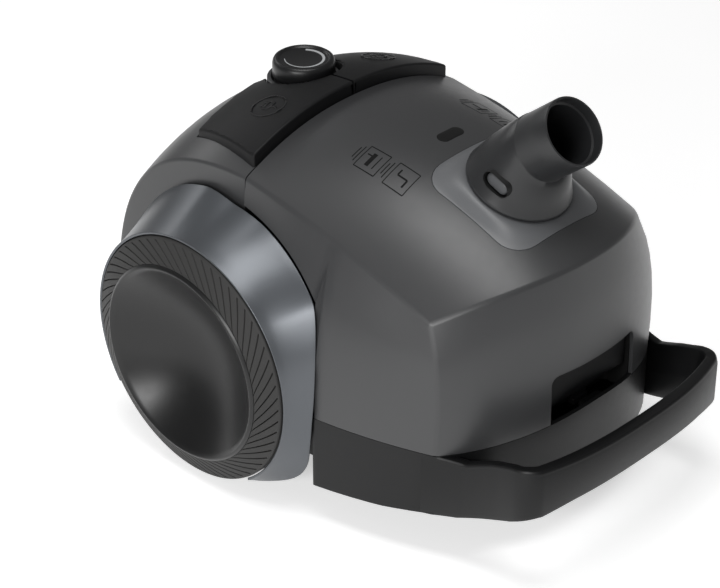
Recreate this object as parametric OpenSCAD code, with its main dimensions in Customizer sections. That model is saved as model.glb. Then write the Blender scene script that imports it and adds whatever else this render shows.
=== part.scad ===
// Canister vacuum cleaner with a bag, two foot pedals, a power knob and a carrying bumper.
// X is across the machine, the nose faces -Y, +Z is up, and the wheels stand on z = 0.

/* [Wheels] */
// Radius of the two rear wheels
wheel_r = 87; // [80:0.5:92]
// Distance of each tyre's outer edge from the middle plane
wheel_plane = 146; // [143:0.5:150]
// Radius of the rim of the hollow wheel disc
rim_r = 67.5; // [60:0.5:72]
// How far the rim stands out from the tyre's edge
rim_out = 8.5; // [4:0.5:12]
// Radius of the stub axles
axle_r = 5; // [4:0.5:6]
// Number of slanted grooves in each tyre
groove_count = 60; // [30:2:72]

/* [Shell] */
// Height of the top of the roof above the floor
roof_top = 237; // [230:0.5:245]
// Half width of the shell between its two long edges
shell_half = 100; // [96:0.5:102]
// Height of the shell's lower edge
skirt_top = 80; // [74:0.5:86]
// Wall thickness of the shells
wall = 2.6; // [2:0.1:3.5]

/* [Base] */
// Height of the underside of the tub
tub_bottom = 24; // [20:0.5:28]
// Distance of the front of the handle from the axle
handle_reach = 268; // [262:1:276]

/* [Hose elbow] */
// Outer radius of the elbow's mouth
mouth_r = 22.5; // [20:0.5:25]
// Radius of the socket that takes the hose
socket_r = 19.2; // [17:0.1:20]
// Tilt of the port from the vertical
port_tilt = 22; // [18:1:26]
// Lean of the mouth from the port's axis
mouth_lean = 29; // [20:1:35]

/* [Controls] */
// Radius of the power knob
knob_r = 21.3; // [18:0.1:24]
// Travel of the pedals
pedal_travel = 4; // [2:0.5:5]

/* [Hidden] */
$fn = 64;

axle_y = 66;
gap = 0.4;
part_y = -12;
hinge = [0, -17, 227.8];
hinge_pin_r = 1.5;
arm_r = 2.2;
port_at = [0, -155, 221.6];
knob_at = [0, 35.6, 230];
motor_at = [30, 0, 112];
reel_at = [-64, 56, 100];
well_half = 104;
nose_y = -217;
corner_y = -172;
chin_y = -227;
fairing_y = -99;
caster_at = [0, -150, 0];
post_x = 94.5;
post_y = [35, 92];

graphite = [0.28, 0.285, 0.295];
silver = [0.52, 0.55, 0.58];
black = [0.07, 0.07, 0.075];
charcoal = [0.16, 0.16, 0.165];
rubber = [0.12, 0.12, 0.12];
steel = [0.7, 0.7, 0.72];
copper = [0.7, 0.4, 0.2];
paper = [0.85, 0.83, 0.78];

// Every part is drawn with the wheel axle at y = 0 and then moved to the part's own frame.
module place() {
    translate([0, axle_y, 0]) children();
}

module both_sides() {
    children();
    mirror([1, 0, 0]) children();
}

function mix(a, b, t) = a + (b - a) * t;
function bezier(a, b, c, t) = a * (1 - t) * (1 - t) + b * 2 * t * (1 - t) + c * t * t;

// Faces of a rectangular grid of points, rows by columns, counted from a first index.
function grid_faces(rows, cols, first, flip) = [
    for (r = [0 : rows - 2]) for (c = [0 : cols - 2])
        let (a = first + r * cols + c, b = a + 1, d = a + cols, e = d + 1)
        each flip ? [[a, d, b], [b, d, e]] : [[a, b, d], [b, e, d]]];

// Indices round the border of a grid, in one direction.
function border(rows, cols) = concat(
    [for (c = [0 : cols - 2]) c],
    [for (r = [0 : rows - 2]) r * cols + cols - 1],
    [for (c = [cols - 1 : -1 : 1]) (rows - 1) * cols + c],
    [for (r = [rows - 1 : -1 : 1]) r * cols]);

// A solid between an outer and an inner grid of points of the same size.
module grid_solid(outer, inner, flip = false) {
    rows = len(outer);
    cols = len(outer[0]);
    count = rows * cols;
    rim = border(rows, cols);
    points = concat([for (row = outer) each row], [for (row = inner) each row]);
    edge = [for (i = [0 : len(rim) - 1])
        let (a = rim[i], b = rim[(i + 1) % len(rim)])
        each flip ? [[a, b, b + count], [a, b + count, a + count]]
            : [[b, a, b + count], [b + count, a, a + count]]];
    polyhedron(points, concat(grid_faces(rows, cols, 0, flip),
        grid_faces(rows, cols, count, !flip), edge), convexity = 8);
}

// Height of the roof over the middle plane and over the long edges, at a distance from the axle.
function crown_z(y) = roof_top - 0.00175 * pow(y + 58, 2);
function ridge_z(y) = let (d = max(0, part_y - y)) roof_top - 28 - 0.14 * d - 0.0007 * d * d;
function roof_z(x, y) = mix(crown_z(y), ridge_z(y), pow(abs(x) / shell_half, 2.2));
function brow_y(u) = nose_y + (corner_y - nose_y) * pow(abs(u), 2.2);
function chin_edge_y(u) = chin_y + 43 * pow(abs(u), 2.4);
function chin_edge_z(u) = skirt_top + 12 * pow(max(0, 1 - u * u), 1.5);

// Lower edge of the side wall: first along the fairing, then along the skirt.
function crease_at(r) = [102.5 + 14.5 * pow(r, 1.6), mix(part_y, -91, r),
    190.5 - 16 * r - 17.5 * r * r * r];
function skirt_at(r) = [129 - 22.5 * r + 10 * r * (1 - r), mix(-101, -184, r), skirt_top];

/* ---------- lid ---------- */
roof_cols = 16;
roof_rows = 10;
wall_rows = 5;
split_row = 5;

// One point of the roof, with u across from -1 to 1, t from the hinge to the nose, e inwards.
function roof_point(u, t, e) = let (
    x = u * (shell_half - e),
    y = mix(part_y, brow_y(u) + e, t))
    [x, y, roof_z(u * shell_half, y) - e];

// Lower end of the wall below border point i, counted from the left hinge corner.
function side_foot(t, e) = let (
    p = t < 0.52 ? crease_at(t / 0.5) : skirt_at((t - 0.52) / 0.48))
    [-p[0] + e, p[1], p[2]];
function front_foot(u, e) = [u * (106.5 - e), chin_edge_y(u) + e, chin_edge_z(u)];

function step_t(r) = r <= split_row ? 0.5 * r / split_row
    : mix(0.52, 1, (r - split_row - 1) / (roof_rows - split_row - 1));
function mirror_x(p) = [-p[0], p[1], p[2]];

// Wall columns run down the left side, across the nose and up the right side.
function wall_column(i, e) = let (
    left = i <= roof_rows,
    right = i >= roof_rows + roof_cols,
    t = left ? step_t(i) : step_t(2 * roof_rows + roof_cols - i),
    u = (i - roof_rows) / roof_cols * 2 - 1,
    head = left || right ? roof_point(-1, t, e) : roof_point(u, 1, e),
    foot = left || right ? side_foot(t, e) : front_foot(u, e),
    bow = left || right ? max(0, 2 * t - 1) : pow(abs(u), 3),
    knee = t < 0.51 && (left || right) ? mix(head, foot, 0.5)
        : [mix(head[0], foot[0], mix(1.03, 1.2, bow)), mix(head[1], foot[1], mix(0.95, 1.6, bow)),
            mix(head[2], foot[2], 0.36)])
    [for (k = [0 : wall_rows])
        let (p = bezier(head, knee, foot, k / wall_rows)) right ? mirror_x(p) : p];

path_count = 2 * roof_rows + roof_cols + 1;
function roof_index(i) = i <= roof_rows ? i * (roof_cols + 1)
    : i <= roof_rows + roof_cols ? roof_rows * (roof_cols + 1) + i - roof_rows
    : (2 * roof_rows + roof_cols - i) * (roof_cols + 1) + roof_cols;
function lid_points(e) = concat(
    [for (r = [0 : roof_rows]) for (c = [0 : roof_cols])
        roof_point(c / roof_cols * 2 - 1, step_t(r), e)],
    [for (k = [1 : wall_rows]) for (i = [0 : path_count - 1]) wall_column(i, e)[k]]);
function wall_index(i, k) = k == 0 ? roof_index(i)
    : (roof_rows + 1) * (roof_cols + 1) + (k - 1) * path_count + i;
function lid_rim() = concat(
    [for (c = [0 : roof_cols - 1]) c],
    [for (k = [0 : wall_rows - 1]) wall_index(path_count - 1, k)],
    [for (i = [path_count - 1 : -1 : 1]) wall_index(i, wall_rows)],
    [for (k = [wall_rows : -1 : 1]) wall_index(0, k)]);

module lid_shell(e0, e1) {
    outer = lid_points(e0);
    inner = lid_points(e1);
    n = len(outer);
    wall_faces = [for (i = [0 : path_count - 2]) for (k = [0 : wall_rows - 1])
        let (a = wall_index(i, k), b = wall_index(i + 1, k),
            c = wall_index(i, k + 1), d = wall_index(i + 1, k + 1))
        each [[a, b, c], [b, d, c]]];
    skin = concat(grid_faces(roof_rows + 1, roof_cols + 1, 0, false), wall_faces);
    rim = lid_rim();
    edge = [for (i = [0 : len(rim) - 1])
        let (a = rim[i], b = rim[(i + 1) % len(rim)])
        each [[b, a, b + n], [b + n, a, a + n]]];
    polyhedron(concat(outer, inner), concat(skin,
        [for (f = skin) [f[0] + n, f[2] + n, f[1] + n]], edge), convexity = 8);
}

// Shapes cut square to the port are drawn in the port's own frame.
module at_port() {
    translate(port_at) rotate([port_tilt, 0, 0]) children();
}

module at_hinge() {
    translate(hinge) rotate([0, 90, 0]) children();
}

module along_x(x, y, z) {
    translate([x, y, z]) rotate([0, 90, 0]) children();
}

module along_y(x, y, z) {
    translate([x, y, z]) rotate([-90, 0, 0]) children();
}

module tube(outer, inner, h) {
    difference() {
        cylinder(r = outer, h = h);
        translate([0, 0, -1]) cylinder(r = inner, h = h + 2);
    }
}

module round_box(x, y, h, r) {
    linear_extrude(h) union() {
        square([x - 2 * r, y], center = true);
        square([x, y - 2 * r], center = true);
        for (a = [-1, 1]) for (b = [-1, 1]) translate([a * (x / 2 - r), b * (y / 2 - r)]) circle(r);
    }
}

module slot_shape(long, r, h) {
    for (s = [-1, 1]) translate([s * long / 2, 0, 0]) cylinder(r = r, h = h, center = true);
    cube([long, 2 * r, h], center = true);
}

module slab(points, z0, z1) {
    translate([0, 0, z0]) linear_extrude(z1 - z0) polygon(points);
}

module side_profile(points, half) {
    rotate([90, 0, 90]) translate([0, 0, -half]) linear_extrude(2 * half) polygon(points);
}

/* ---------- lid and what rides on it ---------- */
module lid() {
    color(graphite) place() difference() {
        union() {
            lid_shell(0, wall);
            at_port() translate([0, -0.5, -9]) round_box(94, 90, 6, 19);
            for (s = [-1, 1]) translate([s * 13 - 3, hinge[1] - 10, hinge[2] - 2]) cube([6, 10, 7.2]);
            for (s = [-1, 1]) translate([s * 13 - 3, 0, 0]) at_hinge() cylinder(r = 3, h = 6);
            for (s = [-1, 1]) translate([s * 42 - 1.2, -222, 93]) cube([2.4, 21, 33.4]);
            translate([-42, -220, 124]) cube([84, 19, 2.4]);
            translate([-42, -203, 93]) cube([84, 2, 33.4]);
        }
        at_port() translate([0, 0, -14]) cylinder(r = 30.5, h = 30);
        at_port() translate([0, -0.5, -3.8]) round_box(88.6, 84.6, 16, 17.3);
        translate([0, -97, 235]) slot_shape(12, 4.9, 30);
        translate([-40.8, -240, skirt_top - 4]) cube([81.6, 37, 48]);
        along_x(-42.4, -211, 118) cylinder(r = 1.5, h = 84.8);
        at_hinge() cylinder(r = hinge_pin_r + 0.05, h = 60, center = true);
        difference() {
            translate([-48, hinge[1], hinge[2]]) cube([96, 10, 12]);
            at_hinge() cylinder(r = 5.6, h = 100, center = true);
        }
    }
}

module lid_hinge_pins() {
    color(steel) place() for (s = [-1, 1]) translate([s * 13 - 8.5, 0, 0]) at_hinge()
        cylinder(r = hinge_pin_r, h = 17);
}

// The latch is a lever on a pin inside the recess of the nose.
module lid_latch() {
    color(black) place() difference() {
        union() {
            translate([-38, -217, 97]) cube([76, 3, 25]);
            translate([-30, -217, 114.4]) cube([60, 6, 7.2]);
            along_x(-30, -211, 118) cylinder(r = 3.6, h = 60);
            translate([-7, -212, 84]) cube([14, 3, 34]);
            translate([-7, -213.6, 84]) cube([14, 2, 3.8]);
        }
        along_x(-40, -211, 118) cylinder(r = 1.55, h = 80);
    }
}

module latch_pin() {
    color(steel) place() along_x(-42.4, -211, 118) cylinder(r = 1.5, h = 84.8);
}

module port_plate() {
    color(silver) place() difference() {
        at_port() translate([0, -0.5, -3.8]) round_box(88, 84, 3.2, 17);
        at_port() translate([0, 0, -8]) cylinder(r = 30.5, h = 20);
    }
}

module port_ring() {
    color(black) place() at_port() translate([0, 0, -14]) tube(35, 28.06, 5);
}

module port_seal() {
    color(rubber) place() at_port() translate([0, 0, -20]) tube(34, 30.6, 6);
}

module bag_window() {
    color([0.05, 0.05, 0.05]) place() translate([0, -97, 233.4]) slot_shape(12, 4.6, 2.4);
}

module bag_flag() {
    color([0.8, 0.25, 0.1]) place() translate([-6, -100, 229]) cube([6, 6, 1.6]);
}

/* ---------- hose elbow ---------- */
module at_mouth() {
    translate([0, -19.8, 63]) rotate([mouth_lean, 0, 0]) children();
}

module elbow_blend(shrink, base) {
    hull() {
        translate([0, 0, base]) cylinder(r = 35 - shrink, h = 3, $fn = 32);
        translate([0, -3, 30]) rotate([14, 0, 0]) cylinder(r = 25.5 - shrink, h = 0.5, $fn = 32);
    }
    hull() {
        translate([0, -3, 30]) rotate([14, 0, 0]) cylinder(r = 25.5 - shrink, h = 0.5, $fn = 32);
        at_mouth() translate([0, 0, -16.5]) cylinder(r = mouth_r - 0.15 - shrink, h = 1, $fn = 32);
    }
}

module hose_elbow() {
    color(charcoal) place() at_port() difference() {
        union() {
            elbow_blend(0, -0.2);
            at_mouth() translate([0, 0, -16]) cylinder(r = mouth_r, h = 16);
            translate([0, 0, -16.6]) cylinder(r = 28, h = 17);
            translate([0, 0, -17.2]) cylinder(r = 29.6, h = 2.8);
        }
        elbow_blend(3, 2.4);
        translate([0, 0, -20]) cylinder(r = 25, h = 24);
        at_mouth() translate([0, 0, -17]) cylinder(r = socket_r, h = 30);
        for (s = [-1, 1]) translate([s * 30, -2, 15]) rotate([90, 0, 90]) slot_shape(8, 4.6, 16);
    }
}

module release_button() {
    translate([-29.4, -2, 15]) rotate([90, 0, 90]) slot_shape(8, 4.1, 4);
}

module left_release_button() {
    color(charcoal) place() at_port() release_button();
}

module right_release_button() {
    color(charcoal) place() at_port() mirror([1, 0, 0]) release_button();
}

/* ---------- base ---------- */
function tub_plan(grow) = let (
    nose = [for (i = [-12 : 12]) let (u = i / 12) [u * (106.5 + grow), chin_edge_y(u) - grow]],
    side = [for (i = [5 : -1 : 0]) let (p = skirt_at(i / 6)) [p[0] + grow, p[1]]],
    back = [for (i = [6 : -1 : 1]) let (p = dome_point(i / 6, 90, 0)) [p[0] + grow, p[1] + grow]],
    right = concat(side, [[129 + grow, fairing_y - grow], [well_half + grow, fairing_y - grow],
        [well_half + grow, 108]], back))
    concat(nose, right, [for (i = [len(right) - 1 : -1 : 0]) [-right[i][0], right[i][1]]]);

// Height of the underside of the tub, rising towards the nose.
belly = [[-300, 60], [-232, 49], [-197, 37], [-150, 30.5], [-99, 27], [-60, tub_bottom], [200, tub_bottom]];
function belly_line(up) = [for (p = belly) [p[0], p[1] + up]];

function bar_y(x) = -handle_reach + 9 * pow(abs(x) / 80, 2.6);
function corner_arc(s) = [for (i = [0 : 6]) let (a = -60 + 10 * i)
    [s * (79 + 18 * cos(a)), -241 + 18 * sin(a)]];
handle_plan = concat([for (i = [-8 : 8]) [i * 9.6, bar_y(i * 9.6)]], corner_arc(1),
    [[99, -205], [105, -182], [0, -178], [-105, -182], [-99, -205]],
    [for (i = [6 : -1 : 0]) corner_arc(-1)[i]]);
hole_plan = concat([for (i = [-7 : 7]) [i * 10, bar_y(i * 10) + 17]],
    [[80, -236], [84, -226], [84, -190], [-84, -190], [-84, -226], [-80, -236]]);
bar_profile = [[-150, 30.5], [-150, 79.6], [-204, 79.6], [-222, 87.6], [-238, 92.6], [-250, 94], [-280, 94.5],
    [-280, 72], [-268, 70], [-255, 64], [-240, 53], [-228, 48], [-197, 37]];

module handle_bar() {
    intersection() {
        difference() {
            slab(handle_plan, 20, 100);
            slab(hole_plan, 10, 110);
        }
        side_profile(bar_profile, 150);
    }
}

// The skirt in front of the wheels; its top follows the lid's lower edge.
skirt_curve = [for (i = [-12 : 12]) [i / 12 * 106.5, chin_edge_z(i / 12) - gap]];
module skirt_front() {
    translate([0, fairing_y + 3, 0]) rotate([90, 0, 0]) linear_extrude(160)
        polygon(concat([[-140, 0], [-140, skirt_top - gap]], skirt_curve, [[140, skirt_top - gap], [140, 0]]));
}

module tub_hollow() {
    difference() {
        slab(tub_plan(-3), 10, 120);
        side_profile(concat([[-300, 0]], belly_line(3), [[200, 0]]), 200);
    }
}

module base_chassis() {
    color(black) place() difference() {
        union() {
            difference() {
                union() {
                    slab(tub_plan(0), tub_bottom, 57 - gap);
                    intersection() {
                        slab(tub_plan(0), tub_bottom, skirt_top + 14);
                        skirt_front();
                    }
                }
                tub_hollow();
            }
            both_sides() translate([well_half - 3, 0, 0])
                side_profile([[-98, 50], [-98, 148], [-60, 168], [-14, 182], [-14, 50]], 1.5);
            both_sides() along_x(well_half - 8, 0, wheel_r) cylinder(r = 13, h = 8);
            both_sides() translate([well_half - 8, -13, 26]) cube([5, 26, wheel_r - 26]);
            translate([0, caster_at[1], 29]) cylinder(r = 9, h = 12);
            translate([-9, -225, 72]) cube([18, 5.6, 19]);
            for (x = [-1, 1]) for (y = post_y) translate([x * post_x, y, tub_bottom + 1])
                cylinder(r = 6, h = 5.8);
        }
        side_profile(concat([[-300, 0]], belly_line(0), [[200, 0]]), 200);
        both_sides() along_x(well_half - 10, 0, wheel_r) cylinder(r = axle_r, h = 20);
        translate([0, caster_at[1], 10]) cylinder(r = 4.04, h = 25);
        for (x = [-1, 1]) for (y = post_y) translate([x * post_x, y, 10]) cylinder(r = 2.1, h = 40);
    }
}

module carry_handle() {
    color(black) place() difference() {
        handle_bar();
        slab(tub_plan(0), 10, 120);
    }
}

module lid_seal() {
    color(rubber) place() intersection() {
        difference() {
            slab(tub_plan(-3), 74, 79);
            slab(tub_plan(-5.5), 70, 82);
            translate([-9.6, -228, 70]) cube([19.2, 9, 12]);
        }
        translate([-150, -300, 0]) cube([300, 190, 200]);
    }
}

// The bulkhead parts the bag's room from the motor and carries the lid's hinge.
function bulkhead_top() = [for (i = [8 : -1 : -8]) let (u = i / 8)
    [u * 95.6, min(roof_z(u * 95.6, dome_y) - 12, 206)]];
module bulkhead() {
    color(charcoal) place() difference() {
        union() {
            translate([0, -7.6, 0]) rotate([90, 0, 0]) linear_extrude(2.6)
                polygon(concat([[-95.6, 27], [95.6, 27]], bulkhead_top()));
            for (s = [-1, 1]) for (x = [6.4, 16.4]) translate([s * (x + 1.6) - 1.6, 0, 0]) hinge_arm();
        }
        along_y(motor_at[0], -20, motor_at[2]) cylinder(r = 26, h = 20);
        at_hinge() cylinder(r = hinge_pin_r, h = 60, center = true);
    }
}

module hinge_arm() {
    at_hinge() cylinder(r = arm_r, h = 3.2);
    translate([0, hinge[1] - arm_r, 198]) cube([3.2, 2 * arm_r, hinge[2] - 198]);
    translate([0, hinge[1], 198]) cube([3.2, 8, 7.6]);
}

/* ---------- rear housing, pedals and knob ---------- */
dome_rows = 10;
dome_cols = 16;
dome_y = -11;
dome_z = 60;
function dome_reach(u) = 136 - dome_y - 14 * u * u;
function dome_point(u, a, e) = let (rise = roof_z(u * shell_half, dome_y) - dome_z - e)
    [u * (shell_half - e), dome_y + (dome_reach(u) - e) * pow(sin(a), 0.8),
        dome_z + rise * pow(cos(a), 0.8)];
function dome_row(a, e) = let (
    l = dome_point(-1, a, e),
    foot = [-(well_half - e), l[1], dome_z - 3])
    concat([foot, mix(foot, l, 0.5)],
        [for (c = [0 : dome_cols]) dome_point(c / dome_cols * 2 - 1, a, e)],
        [mirror_x(mix(foot, l, 0.5)), mirror_x(foot)]);
function dome_top(x, y) = let (
    u = x / shell_half,
    s = pow((y - dome_y) / dome_reach(u), 2.5))
    dome_z + (roof_z(x, dome_y) - dome_z) * pow(1 - s, 0.4);

module dome_shell(e0, e1) {
    grid_solid([for (r = [0 : dome_rows]) dome_row(90 * r / dome_rows, e0)],
        [for (r = [0 : dome_rows]) dome_row(90 * r / dome_rows, e1)], true);
}

function pedal_plan(g) = [[0.8 - g, dome_y - 4 * g], [92 + g, dome_y - 4 * g], [80 + g, 55 + g], [22 - g, 62 + g],
    [0.8 - g, 45 + g]];

module pedal_hole() {
    difference() {
        both_sides() slab(pedal_plan(0.8), 190, 260);
        translate([knob_at[0], knob_at[1], 180]) cylinder(r = 25.6, h = 90);
    }
}

module grille_box(grow) {
    translate([-25 - grow, 100, 66 - grow]) cube([90 + 2 * grow, 60, 48 + 2 * grow]);
}

module rear_housing() {
    color(graphite) place() difference() {
        union() {
            dome_shell(0, wall);
            both_sides() for (y = post_y) translate([post_x, y, 31]) cylinder(r = 5.5, h = 60);
            both_sides() for (y = post_y) translate([post_x, y - 1.5, 59]) cube([8, 3, 32]);
            translate([knob_at[0], knob_at[1], 210]) cylinder(r = 25.3, h = 15);
        }
        pedal_hole();
        grille_box(0.4);
        translate([knob_at[0], knob_at[1], 200]) cylinder(r = 14, h = 60);
        translate([knob_at[0], knob_at[1], 225]) cylinder(r = 25.8, h = 30);
        along_y(-64, 110, 100) cylinder(r = 9, h = 40);
        both_sides() for (y = post_y) translate([post_x, y, 20]) cylinder(r = 1.9, h = 50);
        both_sides() along_x(well_half - 10, 0, wheel_r) cylinder(r = 13.4, h = 20);
        both_sides() translate([well_half - 10, -13.4, 40]) cube([20, 26.8, wheel_r - 40]);
    }
}

// Pedals stand above the housing and fall away to it towards the rear.
pedal_rows = 5;
pedal_cols = 7;
function pedal_point(a, b, down) = let (
    x = mix(0.8, mix(92, 80, b), a),
    y = mix(dome_y, mix(66, 55, a), b))
    [x, y, dome_top(x, y) + mix(9, 4.5, b) - down];

module pedal() {
    difference() {
        union() {
            intersection() {
                grid_solid([for (r = [0 : pedal_rows]) [for (c = [0 : pedal_cols])
                        pedal_point(c / pedal_cols, r / pedal_rows, 0)]],
                    [for (r = [0 : pedal_rows]) [for (c = [0 : pedal_cols])
                        pedal_point(c / pedal_cols, r / pedal_rows, 12)]], true);
                slab(pedal_plan(0), 180, 260);
            }
            translate([52, 20, 196]) cylinder(r = 3, h = 8);
            translate([52, 20, 203.4]) cylinder(r = 6.5, h = 20);
        }
        translate([knob_at[0], knob_at[1], 180]) cylinder(r = 26.2, h = 90);
    }
}

module power_pedal() {
    color(black) place() pedal();
}

module rewind_pedal() {
    color(black) place() mirror([1, 0, 0]) pedal();
}

// A round wire wound in a coil about Z.
module coil(radius, wire, turns, h) {
    sides = 6;
    steps = turns * 10;
    rings = [for (i = [0 : steps]) let (a = 360 * turns * i / steps)
        [for (k = [0 : sides - 1]) let (b = 360 * k / sides, r = radius + wire * cos(b))
            [r * cos(a), r * sin(a), h * i / steps + wire * sin(b)]]];
    faces = [for (i = [0 : steps - 1]) for (k = [0 : sides - 1])
        let (a = i * sides + k, b = i * sides + (k + 1) % sides)
        each [[a, b, a + sides], [b, b + sides, a + sides]]];
    polyhedron([for (r = rings) each r], concat(faces,
        [[for (k = [sides - 1 : -1 : 0]) k]], [[for (k = [0 : sides - 1]) steps * sides + k]]));
}

module pedal_spring() {
    translate([52, 20, 187.6]) coil(5, 0.6, 4, 15);
}

module power_spring() {
    color(steel) place() pedal_spring();
}

module rewind_spring() {
    color(steel) place() mirror([1, 0, 0]) pedal_spring();
}

module knob_collar() {
    color(graphite) place() translate([knob_at[0], knob_at[1], 225]) tube(25, 22, 6);
}

module power_knob() {
    color(black) place() translate([knob_at[0], knob_at[1], 0]) difference() {
        union() {
            rotate_extrude() polygon([[0, 231.5], [knob_r, 231.5], [knob_r, 242.5], [knob_r - 2, 244.6],
                [knob_r - 3.4, 244.6], [knob_r - 4, 243.8], [0, 243.8]]);
            translate([0, 0, 212]) cylinder(r = 3, h = 21);
        }
    }
}

module speed_control() {
    color(charcoal) place() translate([knob_at[0], knob_at[1], 206]) tube(11, 3.06, 12);
}

module circuit_board() {
    color([0.1, 0.35, 0.2]) place() union() {
        translate([-62, 8, 184]) cube([124, 52, 1.8]);
        for (s = [-1, 1]) translate([s * 52 - 6, 14, 185]) cube([12, 12, 1.8]);
        translate([-6, 30, 185]) cube([12, 12, 21]);
    }
}

module exhaust_grille() {
    color(black) place() difference() {
        intersection() {
            dome_shell(0.4, wall);
            grille_box(0);
        }
        for (i = [0 : 6]) translate([-20, 90, 70 + 6 * i]) cube([80, 60, 3]);
    }
}

module exhaust_filter() {
    color(paper) place() translate([-16, 108, 68]) cube([72, 12, 42]);
}

module cord_outlet() {
    color(black) place() difference() {
        union() {
            along_y(-64, 122, 100) cylinder(r = 8.8, h = 10);
            along_y(-64, 131.6, 100) cylinder(r = 12, h = 2.4);
        }
        along_y(-64, 110, 100) cylinder(r = 4.5, h = 40);
    }
}

/* ---------- fairings ---------- */
// Outer edge of the fairing: angle about the axle from straight ahead, distance out, radius.
fairing_edge = [[-53, 138, 91.5], [-42, 129, 103], [-33, 125, 106], [-15, 130, 101], [0, 130.2, 100.6],
    [18, 128, 105.6], [37, 117.5, 113.6], [49, 112.5, 109.6], [60, 108.2, 106], [73, 104.8, 103.4],
    [87, 104.4, 103], [100, 104.2, 108], [114, 104.2, 108], [138, 104.2, 105], [160, 104.2, 101],
    [185, 104.2, 97], [215, 104.2, 94]];
fairing_cols = 36;
fairing_rows = 4;
function fairing_point(i, k, e) = let (
    a = mix(-53, 215, i / fairing_cols),
    out = lookup(a, [for (p = fairing_edge) [p[0], p[1]]]),
    far = lookup(a, [for (p = fairing_edge) [p[0], p[2]]]),
    s = k / fairing_rows,
    r = mix(wheel_r + 2.3, far, pow(s, 1.2)) - e)
    [mix(145, out + 0.3, s), -r * cos(a), wheel_r + r * sin(a)];

module fairing() {
    grid_solid([for (i = [0 : fairing_cols]) [for (k = [0 : fairing_rows]) fairing_point(i, k, 0)]],
        [for (i = [0 : fairing_cols]) [for (k = [0 : fairing_rows]) fairing_point(i, k, 1.9)]]);
}

module right_fairing() {
    color(silver) place() fairing();
}

module left_fairing() {
    color(silver) place() mirror([1, 0, 0]) fairing();
}

/* ---------- wheels ---------- */
dish_x = 122;
function dish(r) = dish_x + (wheel_plane + rim_out - dish_x) * pow(r / rim_r, 2.4);
module wheel_disc() {
    color(black) rotate([0, 90, 0]) difference() {
        union() {
            rotate_extrude() polygon(concat([for (i = [0 : 9]) [rim_r * i / 9, dish(rim_r * i / 9)]],
                [[70, wheel_plane + rim_out - 1.5], [70, 120], [67, 120]],
                [for (i = [8 : -1 : 0]) [67 * i / 9, dish(67 * i / 9) - 2.6]]));
            translate([0, 0, 106]) cylinder(r = 10, h = 16);
        }
        translate([0, 0, 100]) cylinder(r = 6.5, h = 19.4);
        translate([0, 0, 116.2]) cylinder(r = 8.4, h = 3.2);
    }
}

module tyre() {
    color(rubber) rotate([0, 90, 0]) rotate_extrude() polygon([[70, 118], [85.5, 118], [wheel_r, 119.5],
        [wheel_r, wheel_plane - 1], [wheel_r - 1, wheel_plane], [wheel_r - 3, wheel_plane + 0.4],
        [70, wheel_plane + rim_out - 2]]);
}

module axle() {
    color(steel) along_x(95.8, 0, 0) cylinder(r = axle_r, h = 23);
}

module bush() {
    color(paper) union() {
        along_x(106, 0, 0) tube(6.5, axle_r + 0.03, 10);
        along_x(104.6, 0, 0) tube(9, axle_r + 0.03, 1.4);
    }
}

module clip() {
    color(steel) along_x(116.6, 0, 0) tube(8, axle_r, 1);
}

module at_wheel(side) {
    place() translate([0, 0, wheel_r]) mirror([side < 0 ? 1 : 0, 0, 0]) children();
}

module left_disc() { at_wheel(-1) wheel_disc(); }
module right_disc() { at_wheel(1) wheel_disc(); }
module left_tyre() { at_wheel(-1) tyre(); }
module right_tyre() { at_wheel(1) tyre(); }
module left_axle() { at_wheel(-1) axle(); }
module right_axle() { at_wheel(1) axle(); }
module left_bush() { at_wheel(-1) bush(); }
module right_bush() { at_wheel(1) bush(); }
module left_clip() { at_wheel(-1) clip(); }
module right_clip() { at_wheel(1) clip(); }

/* ---------- caster ---------- */
module at_caster() {
    place() translate(caster_at) children();
}

module caster_fork() {
    color(black) at_caster() difference() {
        union() {
            translate([0, 0, 25.4]) cylinder(r = 13, h = 3.6);
            translate([0, 0, 26]) cylinder(r = 4, h = 8.6);
            for (s = [-1, 1]) translate([s * 10.5 - 1.5, -4, 8]) cube([3, 18, 18]);
        }
        along_x(-20, 8, 12) cylinder(r = 2, h = 40);
    }
}

module caster_wheel() {
    color(rubber) at_caster() along_x(-8, 8, 12) difference() {
        rotate_extrude() polygon([[0, 0], [10.5, 0], [12, 2], [12, 14], [10.5, 16], [0, 16]]);
        translate([0, 0, -1]) cylinder(r = 2.05, h = 20);
    }
}

module caster_pin() {
    color(steel) at_caster() along_x(-12.2, 8, 12) cylinder(r = 2, h = 24.4);
}

/* ---------- bag room ---------- */
module at_bag() {
    at_port() translate([0, 0, -34]) children();
}

module bag_holder() {
    color([0.2, 0.45, 0.35]) place() union() {
        at_bag() difference() {
            translate([-66, -40, -4]) cube([132, 82, 3]);
            translate([0, 0, -6]) cylinder(r = 30, h = 10);
            translate([-50, -34, -6]) cube([100, 10, 10]);
        }
        both_sides() translate([66, -150, 33.7]) cube([4, 14, 148.3]);
        both_sides() translate([62, -150, 178]) cube([8, 14, 9]);
    }
}

module bag_collar() {
    color(paper) place() at_bag() difference() {
        translate([-48, -38, -1]) cube([96, 78, 2.4]);
        translate([0, 0, -3]) cylinder(r = 20, h = 8);
    }
}

module dust_bag() {
    color([0.9, 0.88, 0.84]) place() hull() {
        translate([0, -90, 158]) cube([86, 100, 8], center = true);
        translate([0, -105, 100]) cube([112, 150, 60], center = true);
        translate([0, -100, 50]) cube([84, 110, 10], center = true);
    }
}

module filter_frame() {
    color(charcoal) place() translate([motor_at[0] - 38, -18, motor_at[2] - 38]) difference() {
        cube([76, 7.6, 76]);
        translate([4, -2, 4]) cube([68, 20, 68]);
    }
}

module motor_filter() {
    color([0.75, 0.8, 0.85]) place() translate([motor_at[0] - 34, -17, motor_at[2] - 34])
        cube([68, 5, 68]);
}

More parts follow.
